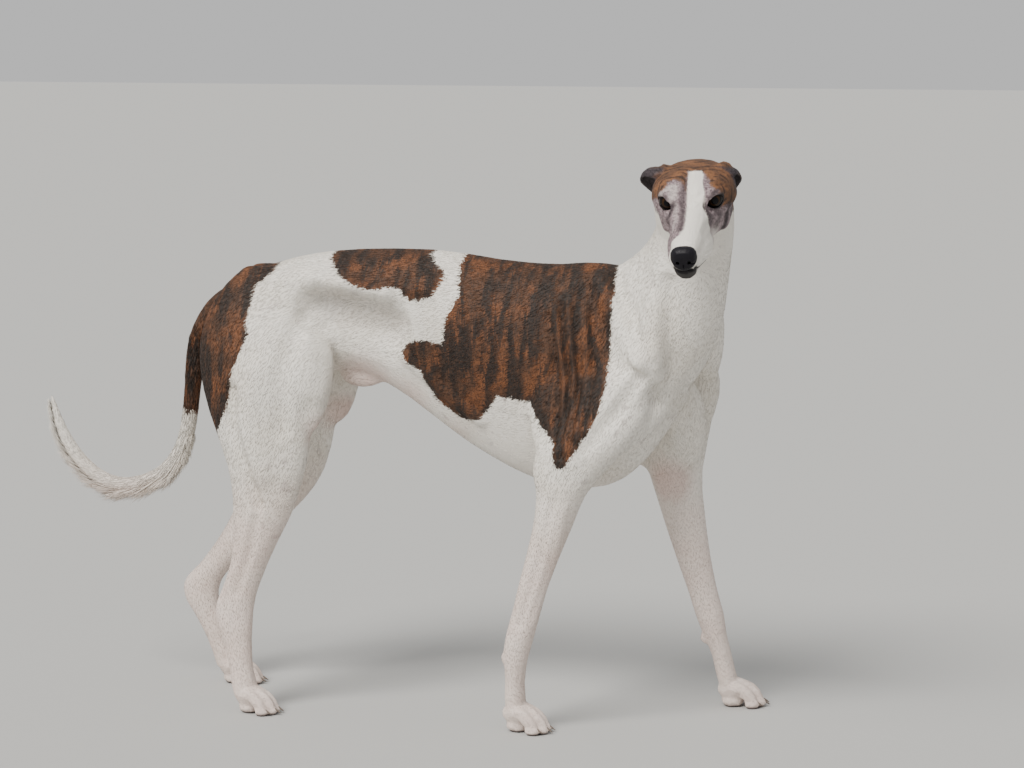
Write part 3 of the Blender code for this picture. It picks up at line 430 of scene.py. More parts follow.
# The markings, laid over skin and coat alike: a saddle and a loin patch of brindle, a brindle
# rump that runs down the tail, and on the head a brindle cap, a white blaze and roan cheeks.
# Each outline is drawn on the side of the dog, forward and up; one that crosses the back runs
# on above it.
ABOVE = 0.90
SADDLE_RIGHT = [
    (0.010, ABOVE), (0.015, 0.715), (0.020, 0.690), (0.000, 0.650), (-0.005, 0.610),
    (-0.040, 0.617), (-0.070, 0.608), (-0.080, 0.595), (-0.070, 0.575), (-0.045, 0.566),
    (-0.038, 0.545), (-0.022, 0.515), (0.025, 0.487), (0.050, 0.490), (0.068, 0.508),
    (0.085, 0.533), (0.140, 0.528), (0.160, 0.495), (0.186, 0.470), (0.190, 0.445),
    (0.195, 0.430), (0.207, 0.432), (0.230, 0.467), (0.255, 0.510), (0.266, 0.550),
    (0.268, 0.700), (0.262, 0.740), (0.262, ABOVE),
]
LOIN_RIGHT = [
    (-0.202, ABOVE), (-0.202, 0.740), (-0.185, 0.717), (-0.155, 0.702), (-0.130, 0.693),
    (-0.085, 0.698), (-0.060, 0.677), (-0.025, 0.683), (-0.007, 0.718), (-0.036, 0.745),
    (-0.036, ABOVE),
]
RUMP_RIGHT = [
    (-0.283, ABOVE), (-0.297, 0.715), (-0.321, 0.696), (-0.326, 0.642), (-0.322, 0.617),
    (-0.344, 0.563), (-0.354, 0.508), (-0.365, 0.481), (-0.380, 0.455), (-0.415, 0.470),
    (-0.560, 0.600), (-0.560, ABOVE),
]
SADDLE_LEFT = [
    (0.011, ABOVE), (0.014, 0.740), (0.006, 0.712), (-0.004, 0.690), (0.004, 0.664),
    (0.018, 0.640), (0.014, 0.612), (0.022, 0.588), (0.046, 0.572), (0.072, 0.560),
    (0.094, 0.566), (0.118, 0.580), (0.142, 0.572), (0.168, 0.556), (0.196, 0.560),
    (0.222, 0.580), (0.240, 0.612), (0.236, 0.650), (0.248, 0.690), (0.262, 0.735),
    (0.262, ABOVE),
]
LOIN_LEFT = [
    (-0.202, ABOVE), (-0.198, 0.738), (-0.176, 0.722), (-0.150, 0.712), (-0.120, 0.716),
    (-0.096, 0.706), (-0.070, 0.710), (-0.050, 0.726), (-0.036, 0.742), (-0.036, ABOVE),
]
RUMP_LEFT = [
    (-0.283, ABOVE), (-0.292, 0.718), (-0.310, 0.700), (-0.330, 0.676), (-0.338, 0.640),
    (-0.334, 0.604), (-0.346, 0.566), (-0.358, 0.536), (-0.372, 0.514), (-0.420, 0.520),
    (-0.560, 0.600), (-0.560, ABOVE),
]


def inside_depth(across, up, outline):
    """Depth inside an outline, negative outside it, for many places at once."""
    outline = np.array(outline)
    nearest = np.full(len(across), np.inf)
    inside = np.zeros(len(across), bool)
    spots = np.stack([across, up], axis=1)
    for start, end in zip(outline, np.roll(outline, -1, axis=0)):
        step = end - start
        share = np.clip((spots - start) @ step / max(step @ step, 1e-12), 0.0, 1.0)
        nearest = np.minimum(nearest, np.linalg.norm(spots - start - share[:, None] * step, axis=1))
        if start[1] != end[1]:
            crosses = (start[1] > up) != (end[1] > up)
            inside ^= crosses & (across < start[0] + (up - start[1]) / (end[1] - start[1]) * step[0])
    return np.where(inside, nearest, -nearest)


def patch_depth(points):
    """How deep inside the nearest brindle patch of the body a place lies."""
    forward, left, up = body_places(points).T
    right_side = left < 0
    sides = [[SADDLE_RIGHT, LOIN_RIGHT, RUMP_RIGHT], [SADDLE_LEFT, LOIN_LEFT, RUMP_LEFT]]
    depths = [np.max([inside_depth(forward, up, outline) for outline in outlines], axis=0)
              for outlines in sides]
    depth = np.where(right_side, depths[0], depths[1])
    on_tail = (forward < -0.405) & (np.abs(left) < 0.035)
    tail_depth = (up - 0.478) + 0.35 * (forward + 0.455)
    depth = np.where(on_tail, tail_depth, depth)
    near_head = np.linalg.norm(points - np.array(on_face(0.12, 0, 0)), axis=1) < 0.20
    return np.where(near_head, -0.05, depth)


# The head's markings, from the front: side and back of the nose, wide ones first
BLAZE = [
    (-0.016, 0.188), (-0.019, 0.176), (-0.020, 0.150), (-0.023, 0.134), (-0.022, 0.115),
    (-0.021, 0.107), (-0.026, 0.100), (-0.031, 0.092), (-0.036, 0.082), (-0.060, 0.060),
    (-0.060, -0.030), (0.060, -0.030), (0.060, 0.004), (0.030, 0.018), (0.021, 0.031),
    (0.014, 0.035), (0.006, 0.039), (0.001, 0.050), (0.000, 0.068), (0.000, 0.095),
    (0.002, 0.127), (0.003, 0.161), (0.004, 0.188),
]
CAP = [
    (0.003, 0.138), (0.009, 0.147), (0.014, 0.158), (0.022, 0.166), (0.030, 0.167),
    (0.035, 0.152), (0.041, 0.147), (0.053, 0.152), (0.100, 0.160), (0.110, 0.235),
    (0.080, 0.262), (0.000, 0.272), (-0.080, 0.262), (-0.110, 0.235), (-0.100, 0.150),
    (-0.053, 0.145), (-0.047, 0.143), (-0.039, 0.143), (-0.031, 0.146), (-0.027, 0.164),
    (-0.021, 0.176), (-0.016, 0.186), (0.004, 0.186), (0.004, 0.150),
]
CAP_LOWEST = {"right": -0.004, "left": -0.018}
CAP_SLOPE = 0.95
CAP_TURN = 0.158
ROAN = [
    (0.003, 0.240), (0.080, 0.240), (0.080, 0.140), (0.060, 0.110), (0.042, 0.060),
    (0.026, 0.024), (0.006, 0.036), (0.001, 0.050), (0.000, 0.068), (0.000, 0.095),
    (0.000, 0.140), (-0.020, 0.140), (-0.022, 0.115), (-0.021, 0.107), (-0.027, 0.098),
    (-0.031, 0.091), (-0.040, 0.086), (-0.062, 0.105), (-0.085, 0.150), (-0.085, 0.240),
]
ROAN_LOWEST = -0.066
# Smoky streaks of the head: places back, side and up, radius and strength
SMOKE = [
    ([(0.150, 0.007, 0.023), (0.118, 0.009, 0.019), (0.085, 0.006, 0.016), (0.050, 0.008, 0.014)],
     0.0055, 0.75),
    ([(0.112, 0.024, 0.012), (0.103, 0.027, 0.004)], 0.0085, 0.95),
    ([(0.111, 0.034, -0.011), (0.095, 0.030, -0.012)], 0.0090, 0.75),
    ([(0.150, 0.050, -0.036), (0.125, 0.043, -0.046), (0.090, 0.036, -0.044)], 0.0045, 0.80),
    ([(0.109, -0.022, 0.013), (0.106, -0.028, 0.006), (0.100, -0.031, -0.004)], 0.0075, 0.85),
    ([(0.102, -0.031, -0.004), (0.106, -0.033, -0.016)], 0.0090, 0.70),
    ([(0.129, -0.038, -0.010), (0.134, -0.041, -0.024), (0.125, -0.037, -0.034)], 0.0090, 0.60),
    ([(0.160, -0.053, -0.020), (0.156, -0.050, -0.040), (0.149, -0.046, -0.052),
      (0.138, -0.041, -0.062)], 0.0080, 1.00),
    ([(0.178, -0.054, -0.046), (0.190, -0.052, -0.056)], 0.0120, 0.80),
    ([(0.136, 0.040, 0.018), (0.118, 0.028, 0.017)], 0.0045, 0.55),
    ([(0.141, -0.040, 0.017), (0.124, -0.030, 0.017)], 0.0045, 0.70),
]
PALE_SPOTS = [
    ([(0.143, 0.042, 0.013), (0.148, 0.024, 0.020), (0.125, 0.024, 0.016)], 0.0085, 0.50),
    ([(0.113, 0.019, 0.014), (0.078, 0.017, 0.012), (0.057, 0.020, 0.007)], 0.0045, 0.30),
    ([(0.117, -0.036, -0.045), (0.085, -0.031, -0.034)], 0.0150, 1.00),
    ([(0.160, 0.053, -0.028), (0.140, 0.048, -0.036)], 0.0060, 0.60),
]
RING_MIDDLES = ((0.150, 0.030, 0.018), (0.150, -0.038, 0.014))


def head_markings(points):
    """Blaze, cap and roan as depths; smoke and pale hair from 0 to 1; the cap's rings."""
    back, side, up = face_places(points).T
    on_head = np.linalg.norm(points - np.array(on_face(0.12, 0, -0.01)), axis=1)
    near = 1.0 - fade(on_head, 0.150, 0.158)
    lowest = np.where(side > 0, CAP_LOWEST["right"], CAP_LOWEST["left"])
    lowest = lowest - CAP_SLOPE * np.maximum(back - CAP_TURN, 0.0)
    blaze = np.where(near > 0, inside_depth(side, back, BLAZE), -0.05)
    cap = np.where(near > 0, inside_depth(side, back, CAP), -0.05)
    cap = np.minimum(cap, up - lowest)
    roan = np.where(near > 0, inside_depth(side, back, ROAN), -0.05)
    roan = np.minimum(roan, up - ROAN_LOWEST)
    tones = []
    for streaks in (SMOKE, PALE_SPOTS):
        tone = np.zeros(len(points))
        for line, radius, strength in streaks:
            gap = along_line(points, [on_face(*place) for place in line])
            tone = np.maximum(tone, strength * (1.0 - fade(gap, 0.25 * radius, 1.4 * radius)))
        tones.append(tone * near)
    rings = np.min([np.linalg.norm(points - np.array(on_face(*place)), axis=1)
                    for place in RING_MIDDLES], axis=0)
    return blaze, cap, roan, tones[0], tones[1], rings


# Bare and thin-haired places where the pink of the skin shows: forward, left, up, radius
LEG_PINK = 0.75
THIN_HAIRED = [
    ((-0.150, 0.0, 0.545), 0.075), ((-0.060, 0.0, 0.535), 0.060), ((0.020, 0.0, 0.490), 0.055),
    ((-0.220, -0.060, 0.470), 0.050), ((-0.220, 0.060, 0.470), 0.050),
    ((0.330, 0.060, 0.380), 0.060), ((0.150, -0.085, 0.230), 0.060),
]
EYE_RADIUS = (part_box("eye_right")[1][0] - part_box("eye_right")[0][0]) / 2


def lid_rims(points):
    """1 on the dark bare edges of the lids, close to the eyeballs."""
    rims = np.zeros(len(points))
    for hand in ("right", "left"):
        gap = np.linalg.norm(points - np.array(EYES[hand]), axis=1) - EYE_RADIUS
        rims = np.maximum(rims, 1.0 - fade(gap, 0.0018, 0.0040))
    return rims


UNDER_NOSE = [(0.004, 0.013, -0.021), (-0.003, 0.000, -0.023), (0.004, -0.013, -0.021)]
# The front of the chin: the lower lip's own dark, with a painted shade under the jaw laid over it
CHIN_LIP_AND_SHADE = [(0.001, 0.013, -0.027), (-0.003, 0.000, -0.034), (0.001, -0.013, -0.027)]
# The right flank's hollow: a grey band is painted along it as the hollow's shade
FLANK_SHADE = [(-0.195, -0.066, 0.660), (-0.150, -0.064, 0.648), (-0.100, -0.064, 0.632)]


def lips(points):
    """1 on the dark edges of the lips, and on the front of the chin, where the lower lip's own dark and
    a painted shade under the jaw are laid together.
    """
    gaps = np.minimum(*[along_line(points, line) for line in mouth_lines])
    dark = 1.0 - fade(gaps, 0.0015, 0.0034)
    under_nose = along_line(points, [on_face(*place) for place in UNDER_NOSE])
    dark = np.maximum(dark, 1.0 - fade(under_nose, 0.0040, 0.0065))
    chin = along_line(points, [on_face(*place) for place in CHIN_LIP_AND_SHADE])
    return np.maximum(dark, 0.95 * (1.0 - fade(chin, 0.0060, 0.0105)))


def store(item, name, values):
    layer = item.data.attributes.new(name, "FLOAT", "POINT")
    layer.data.foreach_set("value", np.ascontiguousarray(values, dtype=np.float32))


def store_places(item, places):
    layer = item.data.attributes.new("place", "FLOAT_VECTOR", "POINT")
    layer.data.foreach_set("vector", np.ascontiguousarray(places, dtype=np.float32).ravel())


def markings(points):
    """Every mark of the coat at many places, by name, with the grey of the right flank's hollow as a
    painted shade.
    """
    blaze, cap, roan, smoke, pale, rings = head_markings(points)
    pink = np.zeros(len(points))
    for (forward, left, up), radius in THIN_HAIRED:
        gap = np.linalg.norm(points - np.array(on_body(forward, left, up)), axis=1)
        pink = np.maximum(pink, 1.0 - fade(gap, 0.3 * radius, radius))
    up = points[:, 2]
    pink = np.maximum(pink, LEG_PINK * (1.0 - fade(up, 0.26, 0.44)))
    hollow = along_line(points, [on_body(*place) for place in FLANK_SHADE])
    return {
        "patch": patch_depth(points), "blaze": blaze, "cap": cap, "roan": roan,
        "smoke": smoke, "pale": pale, "rings": rings, "pink": pink, "ear": near_ears(points),
        "bare": np.maximum(lid_rims(points), lips(points)), "pad": 1.0 - fade(up, 0.002, 0.006),
        "grey": 1.0 - fade(hollow, 0.012, 0.045),
    }


for name, values in markings(vertices_of(skin)).items():
    store(skin, name, values)
store_places(skin, vertices_of(skin))


# Shader maths in plain expressions. A Wire wraps one socket of a node tree; the usual operators
# on it add Math nodes, and Palette makes every other node.
class Wire:
    def __init__(self, palette, socket):
        self.palette, self.socket = palette, socket

    def math(self, operation, *others):
        return self.palette.node("ShaderNodeMath", {"operation": operation}, self, *others)

    def __add__(self, other):
        return self.math("ADD", other)

    __radd__ = __add__

    def __sub__(self, other):
        return self.math("SUBTRACT", other)

    def __rsub__(self, other):
        return self.palette.node("ShaderNodeMath", {"operation": "SUBTRACT"}, other, self)

    def __mul__(self, other):
        return self.math("MULTIPLY", other)

    __rmul__ = __mul__


class Palette:
    """One material's nodes."""

    def __init__(self, name, roughness, specular=0.5):
        self.material = bpy.data.materials.new(name)
        self.material.use_nodes = True
        self.tree = self.material.node_tree
        self.shader = self.tree.nodes["Principled BSDF"]
        self.shader.inputs["Roughness"].default_value = roughness
        self.shader.inputs["Specular IOR Level"].default_value = specular

    def node(self, kind, settings, *values, output=0, **named):
        made = self.tree.nodes.new(kind)
        for key, value in settings.items():
            setattr(made, key, value)
        for index, value in [*enumerate(values), *named.items()]:
            if isinstance(index, str):
                index = index.replace("_", " ")
            if isinstance(value, Wire):
                self.tree.links.new(value.socket, made.inputs[index])
            elif value is not None:
                made.inputs[index].default_value = value
        return Wire(self, made.outputs[output])

    def attribute(self, name):
        return self.node("ShaderNodeAttribute", {"attribute_name": name}, output="Fac")

    def place(self):
        return self.node("ShaderNodeAttribute", {"attribute_name": "place"}, output="Vector")

    def noise(self, vector, scale, detail=2.0, roughness=0.5, distortion=0.0):
        return self.node("ShaderNodeTexNoise", {}, Vector=vector, Scale=scale, Detail=detail,
                         Roughness=roughness, Distortion=distortion)

    def stretched(self, vector, scale, turn=(0.0, 0.0, 0.0)):
        return self.node("ShaderNodeMapping", {}, Vector=vector, Scale=scale, Rotation=turn)

    def step(self, value, start, end):
        return self.node("ShaderNodeMapRange", {"interpolation_type": "SMOOTHSTEP"},
                         value, start, end, 0.0, 1.0)

    def mix(self, share, first, second, blend="MIX"):
        unused = [None] * 5
        return self.node("ShaderNodeMix", {"data_type": "RGBA", "blend_type": blend},
                         share, *unused, first, second, output=2)

    def colour(self, wire):
        self.tree.links.new(wire.socket, self.shader.inputs["Base Color"])

    def bump(self, height, strength, distance):
        bump = self.node("ShaderNodeBump", {}, Strength=strength, Distance=distance, Height=height)
        self.tree.links.new(bump.socket, self.shader.inputs["Normal"])


# Coat colours, as linear light
WHITE_HAIR = (0.84, 0.80, 0.73, 1.0)
CREAM_HAIR = (0.76, 0.71, 0.63, 1.0)
PINK_SKIN = (0.66, 0.46, 0.41, 1.0)
TAN_HAIR = (0.085, 0.038, 0.019, 1.0)
GOLD_HAIR = (0.175, 0.066, 0.026, 1.0)
BLACK_HAIR = (0.020, 0.014, 0.011, 1.0)
CAP_GOLD = (0.240, 0.105, 0.045, 1.0)
CAP_BROWN = (0.135, 0.065, 0.034, 1.0)
CAP_DARK = (0.036, 0.019, 0.013, 1.0)
ROAN_HAIR = (0.100, 0.066, 0.076, 1.0)
PALE_HAIR = (0.400, 0.315, 0.325, 1.0)
# near black: the bare skin of the lids and lips, and the painted shade under the chin
BARE_SKIN_AND_SHADE = (0.010, 0.008, 0.009, 1.0)
PAD_SKIN = (0.10, 0.075, 0.072, 1.0)
SMOKE_HAIR = (0.045, 0.032, 0.036, 1.0)
EAR_HAIR = (0.070, 0.054, 0.060, 1.0)
EAR_DARK = (0.022, 0.017, 0.020, 1.0)
TICK_GREY = (0.36, 0.31, 0.30, 1.0)
# the painted shade of the right flank's hollow
FLANK_SHADE_GREY = (0.50, 0.45, 0.44, 1.0)
RING_WIDTH = 0.0105


def coat_colour(pal):
    """White coat with its brindle, roan and smoke, and painted shade in the right flank's hollow and
    under the chin, the same for skin and hair.
    """
    place = pal.place()
    ragged = (pal.noise(place, 150.0, 3.0) - 0.5) * 0.012
    ragged += (pal.noise(place, 420.0, 2.0) - 0.5) * 0.009
    # white hair, warmer in broad clouds, with faint grey ticks where the skin is spotted
    cloud = pal.step(pal.noise(place, 9.0, 3.0), 0.40, 0.68)
    white = pal.mix(cloud, WHITE_HAIR, CREAM_HAIR)
    ticks = pal.step(pal.noise(place, 52.0, 1.0), 0.66, 0.74)
    ticks *= pal.step(pal.noise(place, 5.0, 1.0), 0.45, 0.60)
    white = pal.mix(ticks * 0.45, white, TICK_GREY)
    pink = pal.attribute("pink") * (0.35 + 0.5 * pal.noise(place, 25.0, 2.0))
    # painted shade: the hollow of the right flank is greyed where its shadow falls
    white = pal.mix(pal.attribute("grey") * 0.45, white, FLANK_SHADE_GREY)
    coat = pal.mix(pink, white, PINK_SKIN)
    # brindle: dark stripes that run down the ribs over red-brown
    tall = pal.stretched(place, (58.0, 14.0, 11.0), (0.0, math.radians(8.0), 0.0))
    stripe = pal.step(pal.noise(tall, 1.0, 4.0, 0.65, 0.5), 0.44, 0.57)
    hairs = pal.noise(pal.stretched(place, (500.0, 300.0, 170.0)), 1.0, 3.0, 0.7)
    warm = pal.mix(pal.step(pal.noise(place, 26.0, 3.0), 0.40, 0.62), TAN_HAIR, GOLD_HAIR)
    warm = pal.mix(pal.step(hairs, 0.46, 0.60) * 0.70, warm, BLACK_HAIR)
    dark = pal.mix(pal.step(hairs, 0.50, 0.64) * 0.55, BLACK_HAIR, TAN_HAIR)
    brindle = pal.mix(stripe, warm, dark)
    patch = pal.step(pal.attribute("patch") + ragged, -0.0012, 0.0012)
    coat = pal.mix(patch, coat, brindle)
    # the head: roan first, then smoke, the ringed cap and the blaze over it
    speckle = pal.noise(place, 250.0, 4.0, 0.7)
    roan = pal.mix(pal.step(speckle, 0.36, 0.62), ROAN_HAIR, PALE_HAIR)
    coat = pal.mix(pal.step(pal.attribute("roan") + ragged, -0.003, 0.004), coat, roan)
    coat = pal.mix(pal.attribute("pale"), coat, pal.mix(speckle, PALE_HAIR, WHITE_HAIR))
    smoke = pal.attribute("smoke") * (0.55 + 0.9 * pal.noise(place, 300.0, 3.0))
    coat = pal.mix(smoke.math("MINIMUM", 1.0), coat, SMOKE_HAIR)
    wander = pal.noise(place, 38.0, 3.0, 0.6) * 1.5
    turns = pal.attribute("rings") * (1.0 / RING_WIDTH) + wander
    rings = pal.step((turns * (2.0 * math.pi)).math("SINE"), -0.2, 0.8)
    cap = pal.mix(pal.step(pal.noise(place, 45.0, 3.0), 0.42, 0.6), CAP_BROWN, CAP_GOLD)
    cap = pal.mix(pal.step(hairs, 0.45, 0.62) * 0.5, cap, CAP_DARK)
    cap = pal.mix(rings * pal.step(pal.noise(place, 70.0, 2.0), 0.36, 0.56) * 0.9, cap, CAP_DARK)
    coat = pal.mix(pal.step(pal.attribute("cap") + ragged, -0.003, 0.004), coat, cap)
    ear = pal.mix(pal.step(speckle, 0.40, 0.62), EAR_DARK, EAR_HAIR)
    coat = pal.mix(pal.attribute("ear"), coat, ear)
    coat = pal.mix(pal.step(pal.attribute("blaze") + ragged * 0.4, -0.0010, 0.0012), coat, WHITE_HAIR)
    # bare dark skin of the lids and lips; on the chin, the lower lip's dark with a painted shade
    coat = pal.mix(pal.attribute("bare"), coat, BARE_SKIN_AND_SHADE)
    coat = pal.mix(pal.attribute("pad"), coat, PAD_SKIN)
    return coat, place


skin_look = Palette("skin_coat", 0.72, 0.35)
coat, place = coat_colour(skin_look)
skin_look.colour(coat)
lie = skin_look.noise(skin_look.stretched(place, (300.0, 900.0, 260.0)), 1.0, 3.0, 0.6)
grain = lie + 0.6 * skin_look.noise(place, 900.0, 2.0)
skin_look.bump(grain, 0.25, 0.0010)
skin.data.materials.clear()
skin.data.materials.append(skin_look.material)
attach(skin, "root")
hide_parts(*[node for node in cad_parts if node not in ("eye_right", "eye_left", "nose")])

# The coat: short flat hair in solid tufts that lie along the body from the nose to the tail.
# Each tuft is a three-sided blade rooted in the skin, with the skin's own colour at its root.
UNWRAP_ANGLE = math.radians(66.0)
only(skin)
bpy.ops.object.mode_set(mode="EDIT")
bpy.ops.mesh.select_all(action="SELECT")
bpy.ops.uv.smart_project(angle_limit=UNWRAP_ANGLE, island_margin=0.001)
bpy.ops.object.mode_set(mode="OBJECT")
skin.data.uv_layers.active.name = "OFBake"

# The lie of the hair on the body: a place, forward, left and up, and the way the hair points
LIE = [
    ((0.300, 0.05, 0.700), (-0.55, 0.10, -0.80)), ((0.360, 0.07, 0.600), (-0.10, 0.15, -1.0)),
    ((0.340, 0.00, 0.500), (0.0, 0.0, -1.0)), ((0.385, -0.08, 0.800), (-0.25, 0.15, -0.95)),
    ((0.380, -0.02, 0.700), (-0.20, 0.10, -1.0)), ((0.330, 0.00, 0.800), (-0.60, 0.10, -0.80)),
    ((0.200, 0.08, 0.700), (-0.75, 0.10, -0.60)), ((0.250, 0.09, 0.550), (-0.45, 0.05, -0.90)),
    ((0.150, 0.10, 0.600), (-0.90, 0.0, -0.45)), ((0.000, 0.10, 0.620), (-0.92, 0.0, -0.40)),
    ((0.000, 0.05, 0.745), (-1.0, 0.0, -0.05)), ((-0.150, 0.05, 0.740), (-1.0, 0.0, -0.10)),
    ((-0.150, 0.09, 0.620), (-0.90, 0.0, -0.40)), ((-0.100, 0.03, 0.520), (-1.0, 0.0, 0.10)),
    ((0.100, 0.03, 0.440), (-1.0, 0.0, 0.15)), ((-0.250, 0.08, 0.680), (-0.80, 0.0, -0.60)),
    ((-0.280, 0.10, 0.550), (-0.35, 0.0, -1.0)), ((-0.360, 0.08, 0.550), (-0.25, 0.0, -1.0)),
    ((-0.200, 0.09, 0.480), (-0.10, 0.0, -1.0)), ((-0.300, 0.10, 0.350), (-0.35, 0.0, -0.95)),
    ((-0.340, 0.10, 0.200), (0.10, 0.0, -1.0)), ((-0.450, 0.08, 0.220), (0.25, 0.0, -1.0)),
    ((-0.330, 0.09, 0.100), (0.10, 0.0, -1.0)), ((-0.420, 0.08, 0.100), (0.15, 0.0, -1.0)),
    ((-0.290, 0.09, 0.035), (0.85, 0.0, -0.50)), ((-0.380, 0.08, 0.035), (0.85, 0.0, -0.50)),
    ((0.180, 0.10, 0.360), (-0.10, 0.0, -1.0)), ((0.150, 0.10, 0.150), (0.0, 0.0, -1.0)),
    ((0.160, 0.10, 0.035), (0.85, 0.0, -0.50)), ((0.360, 0.10, 0.300), (0.20, 0.0, -1.0)),
    ((0.400, 0.13, 0.140), (0.10, 0.0, -1.0)), ((0.460, 0.15, 0.035), (0.85, 0.2, -0.50)),
]
LIE_SHARPNESS = 3.0
# name: spacing, length, width, lift in degrees, slot, in the order of the rules in coat_of
COATS = {
    "coat_ears": (0.0022, 0.0055, 0.0009, 6.0, "grey_coat"),
    "coat_face_right": (0.0021, 0.0042, 0.0008, 5.0, "white_coat"),
    "coat_face_left": (0.0021, 0.0042, 0.0008, 5.0, "white_coat"),
    "coat_neck": (0.0033, 0.0080, 0.0012, 4.0, "white_coat"),
    "coat_tail": (0.0028, 0.0130, 0.0013, 8.0, "white_coat"),
    "coat_paws": (0.0026, 0.0040, 0.0010, 4.0, "white_coat"),
    "coat_forelegs": (0.0029, 0.0058, 0.0010, 4.0, "white_coat"),
    "coat_hindlegs": (0.0029, 0.0058, 0.0010, 4.0, "white_coat"),
    "coat_shoulder_right": (0.0033, 0.0080, 0.0012, 4.0, "brindle_coat"),
    "coat_shoulder_left": (0.0033, 0.0080, 0.0012, 4.0, "brindle_coat"),
    "coat_ribs_right": (0.0033, 0.0085, 0.0012, 4.0, "brindle_coat"),
    "coat_ribs_left": (0.0033, 0.0085, 0.0012, 4.0, "brindle_coat"),
    "coat_thigh_right": (0.0033, 0.0085, 0.0012, 4.5, "white_coat"),
    "coat_thigh_left": (0.0033, 0.0085, 0.0012, 4.5, "white_coat"),
}
TUFT_RIDGE = 0.15
LAID_FLAT = 0.55
SWAY = 0.13
COAT_SEED = 5
tail_line = [on_body(forward, 0.0, up) for forward, up, _ in TAIL_CORE]


def coat_of(points):
    """The number of the coat that each place belongs to."""
    forward, left, up = body_places(points).T
    right = left < 0
    on_head = np.linalg.norm(points - head_middle, axis=1) < 0.150
    face_side = (points - np.array(NOSE)) @ np.array(FACE_SIDE) > 0
    on_tail = (along_line(points, tail_line) < 0.030) & (forward < -0.425)
    rules = [
        near_ears(points) > 0.5, on_head & face_side, on_head,
        (forward > 0.255) & (up > 0.600), on_tail, up < 0.055,
        (up < 0.400) & (forward > 0.050), up < 0.345,
        (forward > 0.120) & right, forward > 0.120,
        (forward > -0.130) & right, forward > -0.130, right,
    ]
    return np.select(rules, np.arange(len(rules)), len(rules))


def unit(vectors):
    return vectors / np.maximum(np.linalg.norm(vectors, axis=1), 1e-9)[:, None]


def tail_run(points):
    """The way the tail runs beside each place."""
    best = np.full(len(points), np.inf)
    run = np.zeros((len(points), 3))
    for start, end in zip(tail_line, tail_line[1:]):
        gap = along_line(points, [start, end])
        run = np.where((gap < best)[:, None], np.array((end - start).normalized()), run)
        best = np.minimum(gap, best)
    return run


def lie_at(points, normals):
    """The way the hair points at each place, along the skin."""
    total = np.zeros((len(points), 3))
    for sign in (1.0, -1.0):
        for (forward, left, up), (along, out, rise) in LIE:
            guide = np.array(on_body(forward, sign * left, up))
            way = np.array((along, sign * out, rise))
            gap = np.linalg.norm(points - guide, axis=1)
            total += (gap ** -LIE_SHARPNESS)[:, None] * way / np.linalg.norm(way)
    lie = unit(total)
    back, side, up = face_places(points).T
    out = np.clip(side / 0.05, -1.0, 1.0)[:, None]
    over = np.clip(up / 0.04, -1.0, 1.0)[:, None]
    face_lie = np.array(FACE_BACK) + 0.45 * out * np.array(FACE_SIDE) + 0.35 * over * np.array(FACE_UP)
    from_head = np.linalg.norm(points - head_middle, axis=1)
    lie += unit(face_lie) * (3.0 * (1.0 - fade(from_head, 0.140, 0.185)))[:, None]
    ear_lie = unit(np.array(FACE_BACK) * 0.7 - np.array(FACE_UP) * 0.6 + 0.3 * out * np.array(FACE_SIDE))
    lie += ear_lie * (6.0 * near_ears(points))[:, None]
    forward = body_places(points)[:, 0]
    on_tail = 1.0 - fade(along_line(points, tail_line), 0.024, 0.040)
    on_tail *= 1.0 - fade(forward, -0.43, -0.415)
    lie += tail_run(points) * (6.0 * on_tail)[:, None]
    lie -= normals * np.sum(lie * normals, axis=1)[:, None]
    return unit(lie)


skin_tree = surface_of(skin)


def over_skin(points):
    """The nearest places on the skin, and which way it faces there."""
    found = [skin_tree.find_nearest(point) for point in points.tolist()]
    return np.array([hit[0] for hit in found]), np.array([hit[1] for hit in found])


